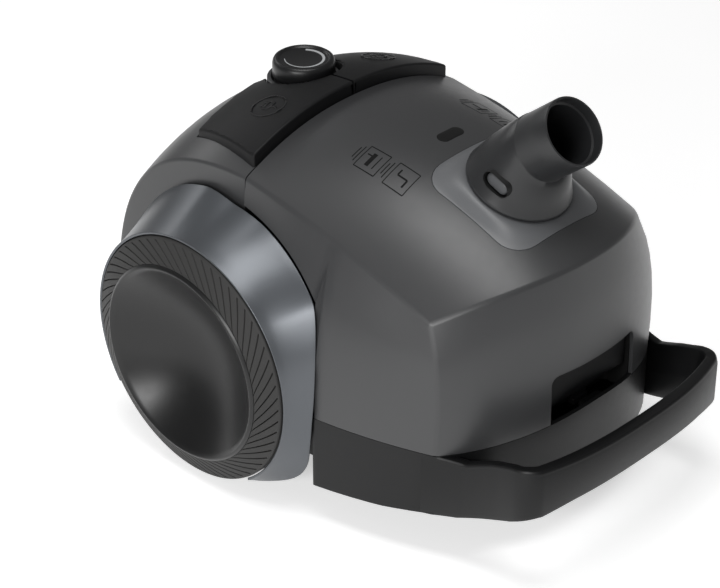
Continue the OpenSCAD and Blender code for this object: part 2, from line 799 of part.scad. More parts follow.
/* ---------- motor ---------- */
module motor_housing() {
    color(charcoal) place() difference() {
        along_y(motor_at[0], 0, motor_at[2]) cylinder(r = 46, h = 82);
        along_y(motor_at[0], 3, motor_at[2]) cylinder(r = 42.5, h = 76);
        along_y(motor_at[0], -5, motor_at[2]) cylinder(r = 22, h = 10);
        along_y(motor_at[0], 60, motor_at[2]) cylinder(r = 4.06, h = 21);
        for (a = [0 : 45 : 315]) along_y(motor_at[0] + 28 * cos(a), 70, motor_at[2] + 28 * sin(a))
            cylinder(r = 6, h = 20);
    }
}

module motor_stator() {
    color(copper) place() along_y(motor_at[0], 34, motor_at[2]) tube(42.5, 24, 30);
}

module motor_shaft() {
    color(steel) place() along_y(motor_at[0], 6, motor_at[2]) union() {
        cylinder(r = 4, h = 74.5);
        translate([0, 0, 30]) cylinder(r = 22, h = 26);
    }
}

module fan_impeller() {
    color(silver) place() along_y(motor_at[0], 8, motor_at[2]) difference() {
        union() {
            cylinder(r = 39, h = 1.5);
            translate([0, 0, 1.5]) cylinder(r = 10, h = 14);
            for (a = [0 : 45 : 315]) rotate([0, 0, a]) translate([9, -0.8, 1.4]) cube([29, 1.6, 12]);
        }
        translate([0, 0, -1]) cylinder(r = 4, h = 30);
    }
}

module motor_mounts() {
    color(rubber) place() for (y = [6, 66]) difference() {
        union() {
            along_y(motor_at[0], y, motor_at[2]) cylinder(r = 50, h = 8);
            translate([motor_at[0] - 30, y, 27]) cube([60, 8, 50]);
        }
        along_y(motor_at[0], y - 5, motor_at[2]) cylinder(r = 46, h = 20);
    }
}

/* ---------- cord reel ---------- */
module cord_reel() {
    color(charcoal) place() along_x(-86, reel_at[1], reel_at[2]) union() {
        tube(58, 24, 2);
        translate([0, 0, 46]) tube(58, 24, 2);
        tube(27, 24, 48);
        translate([0, 0, 20]) tube(26, 5.05, 4);
    }
}

module reel_axle() {
    color(steel) place() along_x(-97.6, reel_at[1], reel_at[2]) cylinder(r = 5, h = 70);
}

module reel_bracket() {
    color(charcoal) place() difference() {
        for (x = [-98, -36]) translate([x, reel_at[1] - 12, 27]) cube([3, 24, reel_at[2] - 12]);
        along_x(-110, reel_at[1], reel_at[2]) cylinder(r = 5, h = 90);
    }
}

module reel_spring() {
    color(steel) place() along_x(-60, reel_at[1], reel_at[2]) tube(21, 5, 16);
}

module body_screws() {
    color(steel) place() both_sides() for (y = post_y) translate([post_x, y, 0]) union() {
        translate([0, 0, tub_bottom - 2]) cylinder(r = 3.8, h = 2);
        translate([0, 0, tub_bottom]) cylinder(r = 1.9, h = 30);
    }
}

base_chassis();
carry_handle();
bulkhead();
rear_housing();
left_fairing();
right_fairing();
lid();
lid_seal();
lid_hinge_pins();
lid_latch();
latch_pin();
rewind_pedal();
power_pedal();
rewind_spring();
power_spring();
knob_collar();
power_knob();
speed_control();
circuit_board();
left_disc();
right_disc();
left_tyre();
right_tyre();
left_axle();
right_axle();
left_bush();
right_bush();
left_clip();
right_clip();
caster_fork();
caster_wheel();
caster_pin();
port_plate();
port_ring();
port_seal();
hose_elbow();
left_release_button();
right_release_button();
bag_window();
bag_flag();
bag_holder();
bag_collar();
dust_bag();
motor_filter();
filter_frame();
motor_housing();
motor_stator();
motor_shaft();
fan_impeller();
motor_mounts();
cord_reel();
reel_axle();
reel_bracket();
reel_spring();
cord_outlet();
exhaust_filter();
exhaust_grille();
body_screws();
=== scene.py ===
# %% [markdown]
# A canister vacuum cleaner, built round a imported CAD model. The CAD model says where every part sits
# and how it moves. This script gives each part its finished surface: rounded edges, smooth shells,
# tyre grooves, printed marks, and a material. We start with the frame, because every later size is
# measured from it.

# %% Load the frame
import math

import bmesh
import bpy
from mathutils import Matrix, Vector


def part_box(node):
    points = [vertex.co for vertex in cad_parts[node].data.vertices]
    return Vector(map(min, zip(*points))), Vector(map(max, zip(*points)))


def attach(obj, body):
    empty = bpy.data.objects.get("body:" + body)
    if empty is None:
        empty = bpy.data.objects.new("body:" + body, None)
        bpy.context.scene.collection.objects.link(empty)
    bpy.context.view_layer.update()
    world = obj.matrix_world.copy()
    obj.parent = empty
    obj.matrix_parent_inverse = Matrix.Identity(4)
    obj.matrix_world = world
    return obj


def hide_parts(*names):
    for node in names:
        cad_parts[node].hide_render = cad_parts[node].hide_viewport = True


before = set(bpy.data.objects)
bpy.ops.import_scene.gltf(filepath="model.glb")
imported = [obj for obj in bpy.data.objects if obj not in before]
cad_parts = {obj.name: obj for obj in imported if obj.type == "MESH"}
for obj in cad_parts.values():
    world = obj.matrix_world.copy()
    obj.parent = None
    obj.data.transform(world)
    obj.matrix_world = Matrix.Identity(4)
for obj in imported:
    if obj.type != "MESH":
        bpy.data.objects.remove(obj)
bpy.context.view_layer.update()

# %% [markdown]
# Pieces of a moulded product are easiest to draw in millimetres, measured from the wheel axle, which
# is where a designer would start. One matrix turns such a drawing into the frame's metres. The axle's
# place comes from the tyre in the frame.

# %% Millimetres from the wheel axle
tyre_low, tyre_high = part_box("left_tyre")
AXLE_Y = 500 * (tyre_low.y + tyre_high.y)
WHEEL_R = 500 * (tyre_high.z - tyre_low.z)
TO_FRAME = Matrix.Scale(0.001, 4) @ Matrix.Translation((0, AXLE_Y, 0))
TAU = 2 * math.pi
print("axle at", round(AXLE_Y, 2), "mm, wheel radius", round(WHEEL_R, 2), "mm")


def mix(a, b, t):
    return a + (b - a) * t


def between(table, x):
    """The value at x on a line through (x, value) pairs."""
    for (x0, v0), (x1, v1) in zip(table, table[1:]):
        if x <= x1:
            return mix(v0, v1, max(0, x - x0) / (x1 - x0))
    return table[-1][1]


# %% [markdown]
# The camera stands to the front left, a third of the way up, with a long lens that flattens the
# perspective. The light is that of a small product studio: two small soft boxes low on the left, one
# for the fairing and one for the bright spot in the hollow wheel, a broad one above, and a weak strip
# behind that draws a line of light along the edges. Nothing lights the right side, so the form reads
# from light to dark.

# %% Camera
scene = bpy.context.scene
scene.view_settings.view_transform = "Standard"


def direction(azimuth, elevation):
    """Unit vector from the object towards a place that is azimuth degrees round and elevation degrees up."""
    a, e = math.radians(azimuth), math.radians(elevation)
    return Vector((math.sin(a) * math.cos(e), -math.cos(a) * math.cos(e), math.sin(e)))


VIEW_AZIMUTH, VIEW_ELEVATION = -46, 31.5
camera = bpy.data.objects.new("camera", bpy.data.cameras.new("camera"))
scene.collection.objects.link(camera)
camera.data.sensor_width = 36
camera.data.lens = 116
camera.location = (-0.98664, -0.90358, 0.92097)
camera.rotation_mode = "QUATERNION"
camera.rotation_quaternion = (-direction(VIEW_AZIMUTH, VIEW_ELEVATION)).to_track_quat("-Z", "Y")
scene.camera = camera
print("lens", camera.data.lens, "mm")

# %% Lights
world = bpy.data.worlds.new("studio")
scene.world = world
world.use_nodes = True
sky = world.node_tree.nodes["Background"].inputs
sky["Color"].default_value = (1, 1, 1, 1)
sky["Strength"].default_value = 0.2


def soft_box(name, azimuth, elevation, distance, width, height, power):
    """A rectangular light that faces the middle of the object."""
    lamp = bpy.data.lights.new(name, "AREA")
    lamp.shape = "RECTANGLE"
    lamp.size, lamp.size_y, lamp.energy = width, height, power
    lit = bpy.data.objects.new(name, lamp)
    aim = direction(azimuth, elevation)
    lit.location = Vector((0, 0, 0.12)) + aim * distance
    lit.rotation_mode = "QUATERNION"
    lit.rotation_quaternion = aim.to_track_quat("Z", "Y")
    scene.collection.objects.link(lit)
    return lit


soft_box("key", -64, 23, 1.6, 0.6, 0.36, 7)
soft_box("spot", -82, 19, 1.6, 0.36, 0.3, 6)
soft_box("overhead", -70, 80, 1.5, 0.9, 0.6, 11)
soft_box("edge", 178, 30, 1.7, 1.2, 0.25, 3)
print("four soft boxes")

# %% [markdown]
# Materials are written as sums. A small class wraps a shader socket, so that noise * 0.1 + 0.4 adds
# the Math nodes by itself. Every other node comes from one method, node(), which takes the node's
# type, its settings and its sockets.

# %% The shader helper
class Wire:
    """An output socket that can be used in sums."""

    def __init__(self, paint, socket):
        self.paint, self.socket = paint, socket

    def math(self, operation, a, b):
        return self.paint.node("ShaderNodeMath", {"operation": operation}, {0: a, 1: b})

    def __add__(self, other):
        return self.math("ADD", self, other)

    def __mul__(self, other):
        return self.math("MULTIPLY", self, other)

    __radd__, __rmul__ = __add__, __mul__


class Paint:
    """A material with a Principled shader, and the means to add nodes to it."""

    def __init__(self, name, constants):
        self.material = bpy.data.materials.new(name)
        self.material.use_nodes = True
        self.tree = self.material.node_tree
        self.shader = self.tree.nodes["Principled BSDF"]
        for socket, value in constants.items():
            self.shader.inputs[socket].default_value = value

    def node(self, kind, settings=None, sockets=None, output=0):
        made = self.tree.nodes.new(kind)
        for setting, value in (settings or {}).items():
            setattr(made, setting, value)
        for key, value in (sockets or {}).items():
            if isinstance(value, Wire):
                self.tree.links.new(value.socket, made.inputs[key])
            else:
                made.inputs[key].default_value = value
        return Wire(self, made.outputs[output])

    def feed(self, name, wire):
        self.tree.links.new(wire.socket, self.shader.inputs[name])

    def place(self):
        """The Object coordinates, in metres."""
        return self.node("ShaderNodeTexCoord", output="Object")

    def noise(self, scale, detail=2.0, where=None):
        return self.node("ShaderNodeTexNoise", {}, {"Vector": where or self.place(), "Scale": scale,
                                                    "Detail": detail}, "Fac")

    def tint(self, share, low, high):
        """A colour between low and high."""
        return self.node("ShaderNodeMix", {"data_type": "RGBA"},
                         {0: share, 6: (*low, 1), 7: (*high, 1)}, 2)

    def bump(self, height, strength, distance):
        return self.node("ShaderNodeBump", {}, {"Height": height, "Strength": strength,
                                                "Distance": distance}, "Normal")


def shaded(colour, factor):
    return tuple(min(1.0, c * factor) for c in colour)


# %% [markdown]
# Most of the machine is moulded plastic. A mould is spark eroded, which leaves a fine grain that
# spreads reflections, and the plastic itself is never quite even. One function makes all of these
# finishes: a slow mottle in the colour, a faster one in the roughness, and the grain as a bump.

# %% Plastics and rubber
def moulded(name, colour, roughness, grain=0.25, grain_scale=2600, mottle=0.06, **extra):
    paint = Paint(name, extra)
    slow = paint.noise(14, 3)
    fast = paint.noise(190, 4)
    paint.feed("Base Color", paint.tint(slow, shaded(colour, 1 - mottle), shaded(colour, 1 + mottle)))
    paint.feed("Roughness", fast * 0.07 + (roughness - 0.035))
    paint.feed("Normal", paint.bump(paint.noise(grain_scale, 1), grain, 0.00006))
    return paint.material


SHELL = moulded("graphite_shell", (0.036, 0.0365, 0.038), 0.38, **{"Coat Weight": 0.1, "Coat Roughness": 0.3})
TUB = moulded("black_tub", (0.0042, 0.0043, 0.0046), 0.4, **{"Specular IOR Level": 0.28})
CONTROL = moulded("black_control", (0.0045, 0.0045, 0.005), 0.5, **{"Specular IOR Level": 0.22})
KNOB = moulded("knob_black", (0.007, 0.007, 0.0075), 0.36, **{"Specular IOR Level": 0.4})
DISH = moulded("polished_black", (0.005, 0.005, 0.0052), 0.33, grain=0.0, **{"Specular IOR Level": 0.45})
ELBOW = moulded("charcoal_elbow", (0.017, 0.0175, 0.0185), 0.34, grain=0.15, **{"Specular IOR Level": 0.45})
PLATE = moulded("grey_plate", (0.105, 0.108, 0.113), 0.4)
RUBBER = moulded("tyre_rubber", (0.024, 0.0235, 0.023), 0.6, grain=0.4, grain_scale=1400,
                 **{"Specular IOR Level": 0.35})
SEAL = moulded("soft_seal", (0.02, 0.02, 0.02), 0.6, grain=0.3)
DARK = moulded("deep_black", (0.004, 0.004, 0.004), 0.6)
LENS = moulded("window_lens", (0.004, 0.004, 0.004), 0.4, grain=0.0, **{"Specular IOR Level": 0.3})
PRINT = moulded("dark_print", (0.003, 0.003, 0.003), 0.6, grain=0.1, **{"Specular IOR Level": 0.15})
PALE = moulded("pale_print", (0.42, 0.43, 0.44), 0.5, grain=0.1)
GREY = moulded("grey_button", (0.06, 0.062, 0.066), 0.42)
INNER = moulded("inner_plastic", (0.03, 0.03, 0.033), 0.5)
HOLDER = moulded("holder_green", (0.06, 0.17, 0.12), 0.45)
BEARING = moulded("natural_acetal", (0.6, 0.58, 0.52), 0.4, grain=0.1)
FLAG = moulded("orange_flag", (0.6, 0.12, 0.03), 0.45)
BOARD = moulded("board_laminate", (0.03, 0.13, 0.06), 0.3, grain=0.1)
print(len(bpy.data.materials), "materials so far")

# %% [markdown]
# The wheel fairings are sprayed. Metallic paint is tiny flakes under a clear coat: part of the light
# comes back as from metal, so a Metallic value below one with a faint speckle gives its look. The
# drawn steel of pins has fine lines round it, the winding is lacquered copper, and filters are cloth.

# %% Metals and cloth
def metal(name, colour, roughness, metallic=1.0, line_scale=900, **extra):
    paint = Paint(name, {"Metallic": metallic, **extra})
    lines = paint.noise(line_scale, 2)
    paint.feed("Base Color", paint.tint(lines, shaded(colour, 0.93), shaded(colour, 1.05)))
    paint.feed("Roughness", lines * 0.1 + (roughness - 0.05))
    paint.feed("Normal", paint.bump(lines, 0.08, 0.00005))
    return paint.material


def cloth(name, colour, weave=1300):
    paint = Paint(name, {"Roughness": 0.9, "Sheen Weight": 0.3})
    place = paint.place()
    turned = paint.node("ShaderNodeMapping", {}, {"Vector": place, "Rotation": (0.6, 0.5, 0.8)}, "Vector")
    across, along = (paint.node("ShaderNodeTexWave", {"bands_direction": way},
                                {"Vector": turned, "Scale": weave}, "Fac") for way in "XY")
    blotch = paint.noise(60, 4)
    paint.feed("Base Color", paint.tint(blotch, shaded(colour, 0.86), shaded(colour, 1.04)))
    paint.feed("Normal", paint.bump(across * along + blotch * 2, 0.5, 0.0003))
    return paint.material


FAIRING = metal("silver_paint", (0.095, 0.102, 0.112), 0.37, metallic=0.7, line_scale=3500,
                **{"Coat Weight": 0.25, "Coat Roughness": 0.25})
STEEL = metal("drawn_steel", (0.55, 0.55, 0.57), 0.3)
COPPER = metal("copper_winding", (0.6, 0.28, 0.12), 0.4)
FAN = metal("pressed_sheet", (0.66, 0.66, 0.68), 0.35)
BAG_CLOTH = cloth("bag_cloth", (0.72, 0.7, 0.64))
FILTER_CLOTH = cloth("filter_cloth", (0.6, 0.66, 0.7), 900)
print(len(bpy.data.materials), "materials")

# %% [markdown]
# A moulded shell is one smooth surface, so the natural start is a grid of faces that is bent over a
# formula. put_piece() finishes every mesh in one way: it closes doubles, turns faces outwards, gives
# a thin shell its wall, rounds the edges that are left, and hangs the piece on its CAD body.

# %% Mesh helpers
def curved_grid(bm, columns, rows, point):
    """A grid of faces, each vertex put where point(u, v) says, with u and v from 0 to 1."""
    made = bmesh.ops.create_grid(bm, x_segments=columns, y_segments=rows, size=1)["verts"]
    for vertex in made:
        vertex.co = point((vertex.co.x + 1) / 2, (vertex.co.y + 1) / 2)


def face_outward(bm, centre):
    """Turns a shell inside out if most of its area looks towards the centre."""
    bmesh.ops.recalc_face_normals(bm, faces=bm.faces)
    looking = sum(f.normal.dot(f.calc_center_median() - centre) * f.calc_area() for f in bm.faces)
    if looking < 0:
        bmesh.ops.reverse_faces(bm, faces=bm.faces)


def put_piece(name, bm, body, material, stands_for=(), centre=None, wall=0, edge=0, smooth=35):
    """Makes an object of a mesh drawn in millimetres from the axle, and hangs it on a CAD body."""
    bmesh.ops.remove_doubles(bm, verts=bm.verts, dist=0.004)
    if centre is None:
        bmesh.ops.recalc_face_normals(bm, faces=bm.faces)
    else:
        face_outward(bm, Vector(centre))
    bm.transform(TO_FRAME)
    mesh = bpy.data.meshes.new(name)
    bm.to_mesh(mesh)
    bm.free()
    mesh.shade_smooth()
    mesh.set_sharp_from_angle(angle=math.radians(smooth))
    piece = bpy.data.objects.new(name, mesh)
    scene.collection.objects.link(piece)
    piece.data.materials.append(material)
    if wall:
        shell = piece.modifiers.new("wall", "SOLIDIFY")
        shell.thickness, shell.offset = wall / 1000, -1
    if edge:
        round_edges(piece, edge)
    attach(piece, body)
    if stands_for:
        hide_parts(*stands_for)
    print(name, len(mesh.polygons), "faces")
    return piece


def round_edges(piece, radius, angle=50, segments=2):
    rounding = piece.modifiers.new("edges", "BEVEL")
    rounding.width, rounding.segments = radius / 1000, segments
    rounding.limit_method, rounding.angle_limit = "ANGLE", math.radians(angle)
    rounding.use_clamp_overlap = True
    flat = piece.modifiers.new("normals", "WEIGHTED_NORMAL")
    flat.keep_sharp = False


def lathe(bm, profile, at=None, steps=96):
    """Spins a profile of (radius, height) pairs round the Z axis of the frame at."""
    before = set(bm.verts)
    start = [bm.verts.new((r, 0, z)) for r, z in profile]
    edges = [bm.edges.new(pair) for pair in zip(start, start[1:])]
    bmesh.ops.spin(bm, geom=start + edges, cent=(0, 0, 0), axis=(0, 0, 1), angle=TAU, steps=steps,
                   use_merge=True)
    turned = [v for v in bm.verts if v not in before]
    bmesh.ops.remove_doubles(bm, verts=turned, dist=0.001)
    if at is not None:
        bmesh.ops.transform(bm, matrix=at, verts=[v for v in turned if v.is_valid])


def outline_box(x, y, r, steps=8):
    """A rectangle with rounded corners, as points that run anticlockwise."""
    points = []
    for quarter in range(4):
        a0 = quarter * TAU / 4
        middle = Vector(((x / 2 - r) * (1 if quarter in (0, 3) else -1),
                         (y / 2 - r) * (1 if quarter in (0, 1) else -1)))
        turns = [a0 + TAU / 4 * i / steps for i in range(steps + 1)]
        points += [middle + r * Vector((math.cos(a), math.sin(a))) for a in turns]
    return points


def outline_circle(radius, steps=48, centre=(0, 0)):
    return [Vector(centre) + radius * Vector((math.cos(TAU * i / steps), math.sin(TAU * i / steps)))
            for i in range(steps)]


def is_inside(point, outline, grow=0.0):
    """Whether a point lies in a convex outline that runs anticlockwise."""
    for a, b in zip(outline, outline[1:] + outline[:1]):
        side = b - a
        if side.length > 1e-6 and side.cross(point - a) / side.length < -grow:
            return False
    return True


def cut_opening(bm, outline, at, deep=40, keep_inside=False):
    """Cuts an outline, drawn in the frame at, through the faces near it, and removes its inside."""
    inverse = at.inverted()
    turn = at.to_3x3()
    axis = turn @ Vector((0, 0, 1))
    for a, b in zip(outline, outline[1:] + outline[:1]):
        if (b - a).length < 1e-6:
            continue
        low = Vector((min(a.x, b.x), min(a.y, b.y))) - Vector((0.6, 0.6))
        high = Vector((max(a.x, b.x), max(a.y, b.y))) + Vector((0.6, 0.6))
        near = []
        for face in bm.faces:
            local = [inverse @ v.co for v in face.verts]
            xs, ys = [p.x for p in local], [p.y for p in local]
            if (max(xs) > low.x and min(xs) < high.x and max(ys) > low.y and min(ys) < high.y
                    and abs(local[0].z) < deep):
                near.append(face)
        around = list({v for f in near for v in f.verts}) + list({e for f in near for e in f.edges})
        side = (turn @ Vector((b.x - a.x, b.y - a.y, 0))).cross(axis)
        bmesh.ops.bisect_plane(bm, geom=near + around, dist=0.12, plane_co=at @ Vector((a.x, a.y, 0)),
                               plane_no=side, use_snap_center=True)
    gone = []
    for face in bm.faces:
        local = inverse @ face.calc_center_median()
        inside = abs(local.z) < deep and is_inside(Vector((local.x, local.y)), outline)
        if inside != keep_inside:
            gone.append(face)
    bmesh.ops.delete(bm, geom=gone, context="FACES")


PORT = Matrix.Translation((0, -155, 221.6)) @ Matrix.Rotation(math.radians(22), 4, "X")
FRONT = Matrix.Rotation(math.radians(90), 4, "X")
ABOVE = Matrix.Identity(4)
print("helpers ready")

# %% [markdown]
# The lid is the machine's face: a broad roof that falls away to two long edges and to the nose, side
# walls that lean out, and a front that bows. Its edges are crisp, about 2 mm in radius. We bend one
# grid to the roof, one to the wall that runs down the left side, across the nose and up the right
# side, join them along their shared line, and bevel only the three lines where they meet.

# %% The surface of the shell
SHELL_HALF, PART_Y, ROOF_TOP, SKIRT_TOP, WALL = 100, -12, 237, 80, 2.6


def crown_z(y):
    return ROOF_TOP - 0.00175 * (y + 58) ** 2


def ridge_z(y):
    d = max(0, PART_Y - y)
    return ROOF_TOP - 28 - 0.14 * d - 0.0007 * d * d


def roof_z(x, y):
    return mix(crown_z(y), ridge_z(y), (abs(x) / SHELL_HALF) ** 2.2)


def chin_y(u):
    return -227 + 43 * abs(u) ** 2.4


def chin_z(u):
    return SKIRT_TOP + 12 * max(0, 1 - u * u) ** 1.5


def roof_point(u, t):
    brow = -217 + 45 * abs(u) ** 2.2
    y = mix(PART_Y, brow, t)
    return Vector((u * SHELL_HALF, y, roof_z(u * SHELL_HALF, y)))


def side_foot(t):
    """The lower edge of the side wall: along the fairing first, then along the skirt."""
    if t < 0.51:
        r = t / 0.5
        return Vector((-102.5 - 14.5 * r ** 1.6, mix(PART_Y, -91, r), 190.5 - 16 * r - 17.5 * r ** 3))
    r = (t - 0.52) / 0.48
    return Vector((-129 + 22.5 * r - 10 * r * (1 - r), mix(-101, -184, r), SKIRT_TOP))


LID_ROWS, LID_COLUMNS, LID_SPLIT = 26, 34, 13
WALL_STEPS = (0, 0.26, 0.4, 0.55, 0.7, 0.85, 1)


def row_share(r):
    if r <= LID_SPLIT:
        return 0.5 * r / LID_SPLIT
    return mix(0.52, 1, (r - LID_SPLIT - 1) / (LID_ROWS - LID_SPLIT - 1))


def wall_point(i, k):
    """Point k of the wall's column i, counted from the left hinge corner round the nose."""
    last = 2 * LID_ROWS + LID_COLUMNS
    if i > LID_ROWS + LID_COLUMNS:
        mirrored = wall_point(last - i, k)
        return Vector((-mirrored.x, mirrored.y, mirrored.z))
    if i <= LID_ROWS:
        t = row_share(i)
        head, foot, bow = roof_point(-1, t), side_foot(t), max(0, 2 * t - 1)
    else:
        t, u = 1, (i - LID_ROWS) / LID_COLUMNS * 2 - 1
        head, foot, bow = roof_point(u, 1), Vector((u * 106.5, chin_y(u), chin_z(u))), abs(u) ** 3
    knee = Vector((mix(head.x, foot.x, mix(1.03, 1.2, bow)), mix(head.y, foot.y, mix(0.95, 1.6, bow)),
                   mix(head.z, foot.z, 0.36)))
    if t < 0.51:
        knee = (head + foot) / 2
    s = WALL_STEPS[k]
    return head * (1 - s) ** 2 + knee * 2 * s * (1 - s) + foot * s * s


# %% The lid's shell
lid_bm = bmesh.new()
curved_grid(lid_bm, LID_COLUMNS, LID_ROWS, lambda u, v: roof_point(u * 2 - 1, row_share(round(v * LID_ROWS))))
wall_columns = 2 * LID_ROWS + LID_COLUMNS
curved_grid(lid_bm, wall_columns, len(WALL_STEPS) - 1,
            lambda u, v: wall_point(round(u * wall_columns), round(v * (len(WALL_STEPS) - 1))))
bmesh.ops.remove_doubles(lid_bm, verts=lid_bm.verts, dist=0.01)
face_outward(lid_bm, Vector((0, -110, 100)))


def bevel_lines(bm, chosen, width, segments=4):
    edges = [e for e in bm.edges if len(e.link_faces) == 2 and chosen(e.verts[0].co, e.verts[1].co)]
    bmesh.ops.bevel(bm, geom=edges, offset=width, offset_type="OFFSET", segments=segments, profile=0.5,
                    affect="EDGES", clamp_overlap=True, material=-1)
    return len(edges)


def on_head(p):
    """Whether a point is on the line between roof and walls."""
    u = p.x / SHELL_HALF
    brow = -217 + 45 * abs(u) ** 2.2
    on_roof = abs(p.z - roof_z(p.x, p.y)) < 0.02
    return on_roof and (abs(abs(p.x) - SHELL_HALF) < 0.01 or abs(p.y - brow) < 0.01)


corner = [wall_point(LID_ROWS, k) for k in range(len(WALL_STEPS))]


def on_corner(p):
    return any((Vector((-abs(p.x), p.y, p.z)) - c).length < 0.02 for c in corner)


print(bevel_lines(lid_bm, lambda a, b: (on_head(a) and on_head(b)) or (on_corner(a) and on_corner(b)), 2.3),
      "edges rounded")

# %% [markdown]
# Two openings go through the lid: the finger recess in the nose and the seat of the port plate. A
# boolean would leave long thin faces that spoil a glossy reflection. Cutting the grid along the
# outline with planes keeps every new vertex on the old surface, so the shading stays clean.

# %% Openings in the lid
RECESS_HALF, RECESS_LOW, RECESS_TOP, RECESS_R = 40.8, 60, 124, 6
recess = [Vector((-RECESS_HALF, RECESS_LOW)), Vector((RECESS_HALF, RECESS_LOW))]
for side in (1, -1):
    middle = Vector((side * (RECESS_HALF - RECESS_R), RECESS_TOP - RECESS_R))
    start = 0 if side > 0 else TAU / 4
    recess += [middle + RECESS_R * Vector((math.cos(a), math.sin(a)))
               for a in (start + TAU / 4 * i / 4 for i in range(5))]
cut_opening(lid_bm, recess, Matrix.Translation((0, -225, 0)) @ FRONT, deep=30)
PLATE_AT = PORT @ Matrix.Translation((0, -0.5, 0))
PLATE_X, PLATE_Y, PLATE_R, PLATE_HOLE, PLATE_GAP = 88, 84, 17, 30.6, 0.3
cut_opening(lid_bm, outline_box(PLATE_X + 2 * PLATE_GAP, PLATE_Y + 2 * PLATE_GAP, PLATE_R + PLATE_GAP),
            PLATE_AT, deep=25)
put_piece("lid_shell", lid_bm, "lid", SHELL, ["lid"], centre=(0, -110, 100), wall=WALL, edge=0.45)

# %% [markdown]
# Behind the nose opening is a pocket for two fingers, and the latch lever hangs in it. It is a box
# without its front and its floor, with rounded inner corners and a wall outside.

# %% Finger pocket
pocket_bm = bmesh.new()
bmesh.ops.create_cube(pocket_bm, size=1, matrix=Matrix.Diagonal((81.4, 18.8, 48, 1)))
open_faces = [f for f in pocket_bm.faces if min(f.normal.y, f.normal.z) < -0.9]
bmesh.ops.delete(pocket_bm, geom=open_faces, context="FACES")
inner = [e for e in pocket_bm.edges if len(e.link_faces) == 2]
bmesh.ops.bevel(pocket_bm, geom=inner, offset=4, segments=4, profile=0.5, affect="EDGES", material=-1)
bmesh.ops.solidify(pocket_bm, geom=pocket_bm.faces, thickness=-1.6)
bmesh.ops.translate(pocket_bm, vec=(0, -209.6, 100), verts=pocket_bm.verts)
put_piece("lid_recess", pocket_bm, "lid", DARK, smooth=50)

# %% [markdown]
# The port plate is a rounded square with a round hole for the elbow. Near the elbow it is flat; at
# its edge it lies flush with the bent roof. We walk outwards from the hole in rings of points at even
# angles, let the height pass smoothly from the one to the other, and bridge ring to ring.

# %% Port plate
def closed_loop(bm, points):
    verts = [bm.verts.new(p) for p in points]
    return [bm.edges.new((a, b)) for a, b in zip(verts, verts[1:] + verts[:1])]


def edge_reach(a, x, y, r):
    """Distance from the middle of a rounded rectangle to its edge, in direction a."""
    near, far = 0, x + y
    for _ in range(30):
        d = (near + far) / 2
        px, py = abs(d * math.cos(a)) - x / 2 + r, abs(d * math.sin(a)) - y / 2 + r
        outside = math.hypot(max(px, 0), max(py, 0)) + min(max(px, py), 0) - r > 0
        near, far = (near, d) if outside else (d, far)
    return near


def roof_over(x, y):
    """Height of the roof over a point of the plate, along the plate's own axis."""
    z = 0
    for _ in range(6):
        p = PLATE_AT @ Vector((x, y, z))
        z += roof_z(p.x, p.y) - p.z
    return z


FLAT_R = 35.5


def plate_ring(share, down):
    """A ring of the plate: share 0 is the hole, 1 the edge, and down lowers it."""
    points = []
    for i in range(96):
        a = TAU * i / 96
        reach = edge_reach(a, PLATE_X, PLATE_Y, PLATE_R)
        r = mix(PLATE_HOLE, reach, share)
        blend = min(1, max(0, (r - FLAT_R) / (reach - FLAT_R)))
        x, y = r * math.cos(a), r * math.sin(a)
        points.append((x, y, mix(-0.6, roof_over(x, y) + 0.1, blend * blend * (3 - 2 * blend)) - down))
    return points


plate_bm = bmesh.new()
PLATE_RINGS = [(0, 3)] + [(share, 0) for share in (0, 0.2, 0.35, 0.5, 0.65, 0.8, 0.92, 1)] + [(1, 3)]
plate_loops = [closed_loop(plate_bm, plate_ring(share, down)) for share, down in PLATE_RINGS]
for a, b in zip(plate_loops, plate_loops[1:]):
    bmesh.ops.bridge_loops(plate_bm, edges=a + b)
bmesh.ops.transform(plate_bm, matrix=PLATE_AT, verts=plate_bm.verts)
put_piece("plate", plate_bm, "lid", PLATE, ["port_plate"], edge=0.5)

# %% [markdown]
# The elbow turns on the plate and takes the hose. Its foot is a cone, and a straight tube leans out
# of it with a crisp crease between them. Circles along a curved centre line, bridged one to the next,
# give that shape, and the same chain of circles runs back inside to make the wall, the lip and the
# step in the bore.

# %% Hose elbow
MOUTH = PORT @ Matrix.Translation((0, -19.8, 63)) @ Matrix.Rotation(math.radians(29), 4, "X")


def port_section(y, z, tilt):
    return PORT @ Matrix.Translation((0, y, z)) @ Matrix.Rotation(math.radians(tilt), 4, "X")


def mouth_section(z):
    return MOUTH @ Matrix.Translation((0, 0, z))


elbow_rings = [(port_section(0, -0.2, 0), 34.4), (port_section(0, 0.6, 0), 35), (port_section(0, 2.2, 0), 35),
               (port_section(0, 3.2, 0), 34.5), (port_section(-1.2, 15, 7), 30.2),
               (port_section(-2.6, 28, 14), 25.2), (mouth_section(-32), 22.9), (mouth_section(-31.4), 22.6),
               (mouth_section(-30), 22.5), (mouth_section(-15), 22.5), (mouth_section(-1), 22.5),
               (mouth_section(-0.25), 22.3), (mouth_section(0), 21.7), (mouth_section(-0.2), 21.1),
               (mouth_section(-0.8), 20.9), (mouth_section(-7), 20.7), (mouth_section(-7.6), 19.4),
               (mouth_section(-16), 19.2), (port_section(-8.2, 42, 22), 19.2), (port_section(-3, 30, 12), 20),
               (port_section(-1, 14, 4), 24), (port_section(0, 3, 0), 25), (port_section(0, -16, 0), 25)]


def ring_chain(bm, rings, steps=64):
    """Bridges circles, each given by its frame and radius, in order."""
    loops = []
    for at, radius in rings:
        verts = bmesh.ops.create_circle(bm, segments=steps, radius=radius, matrix=at)["verts"]
        loops.append(list({e for v in verts for e in v.link_edges}))
    for a, b in zip(loops, loops[1:]):
        bmesh.ops.bridge_loops(bm, edges=a + b)


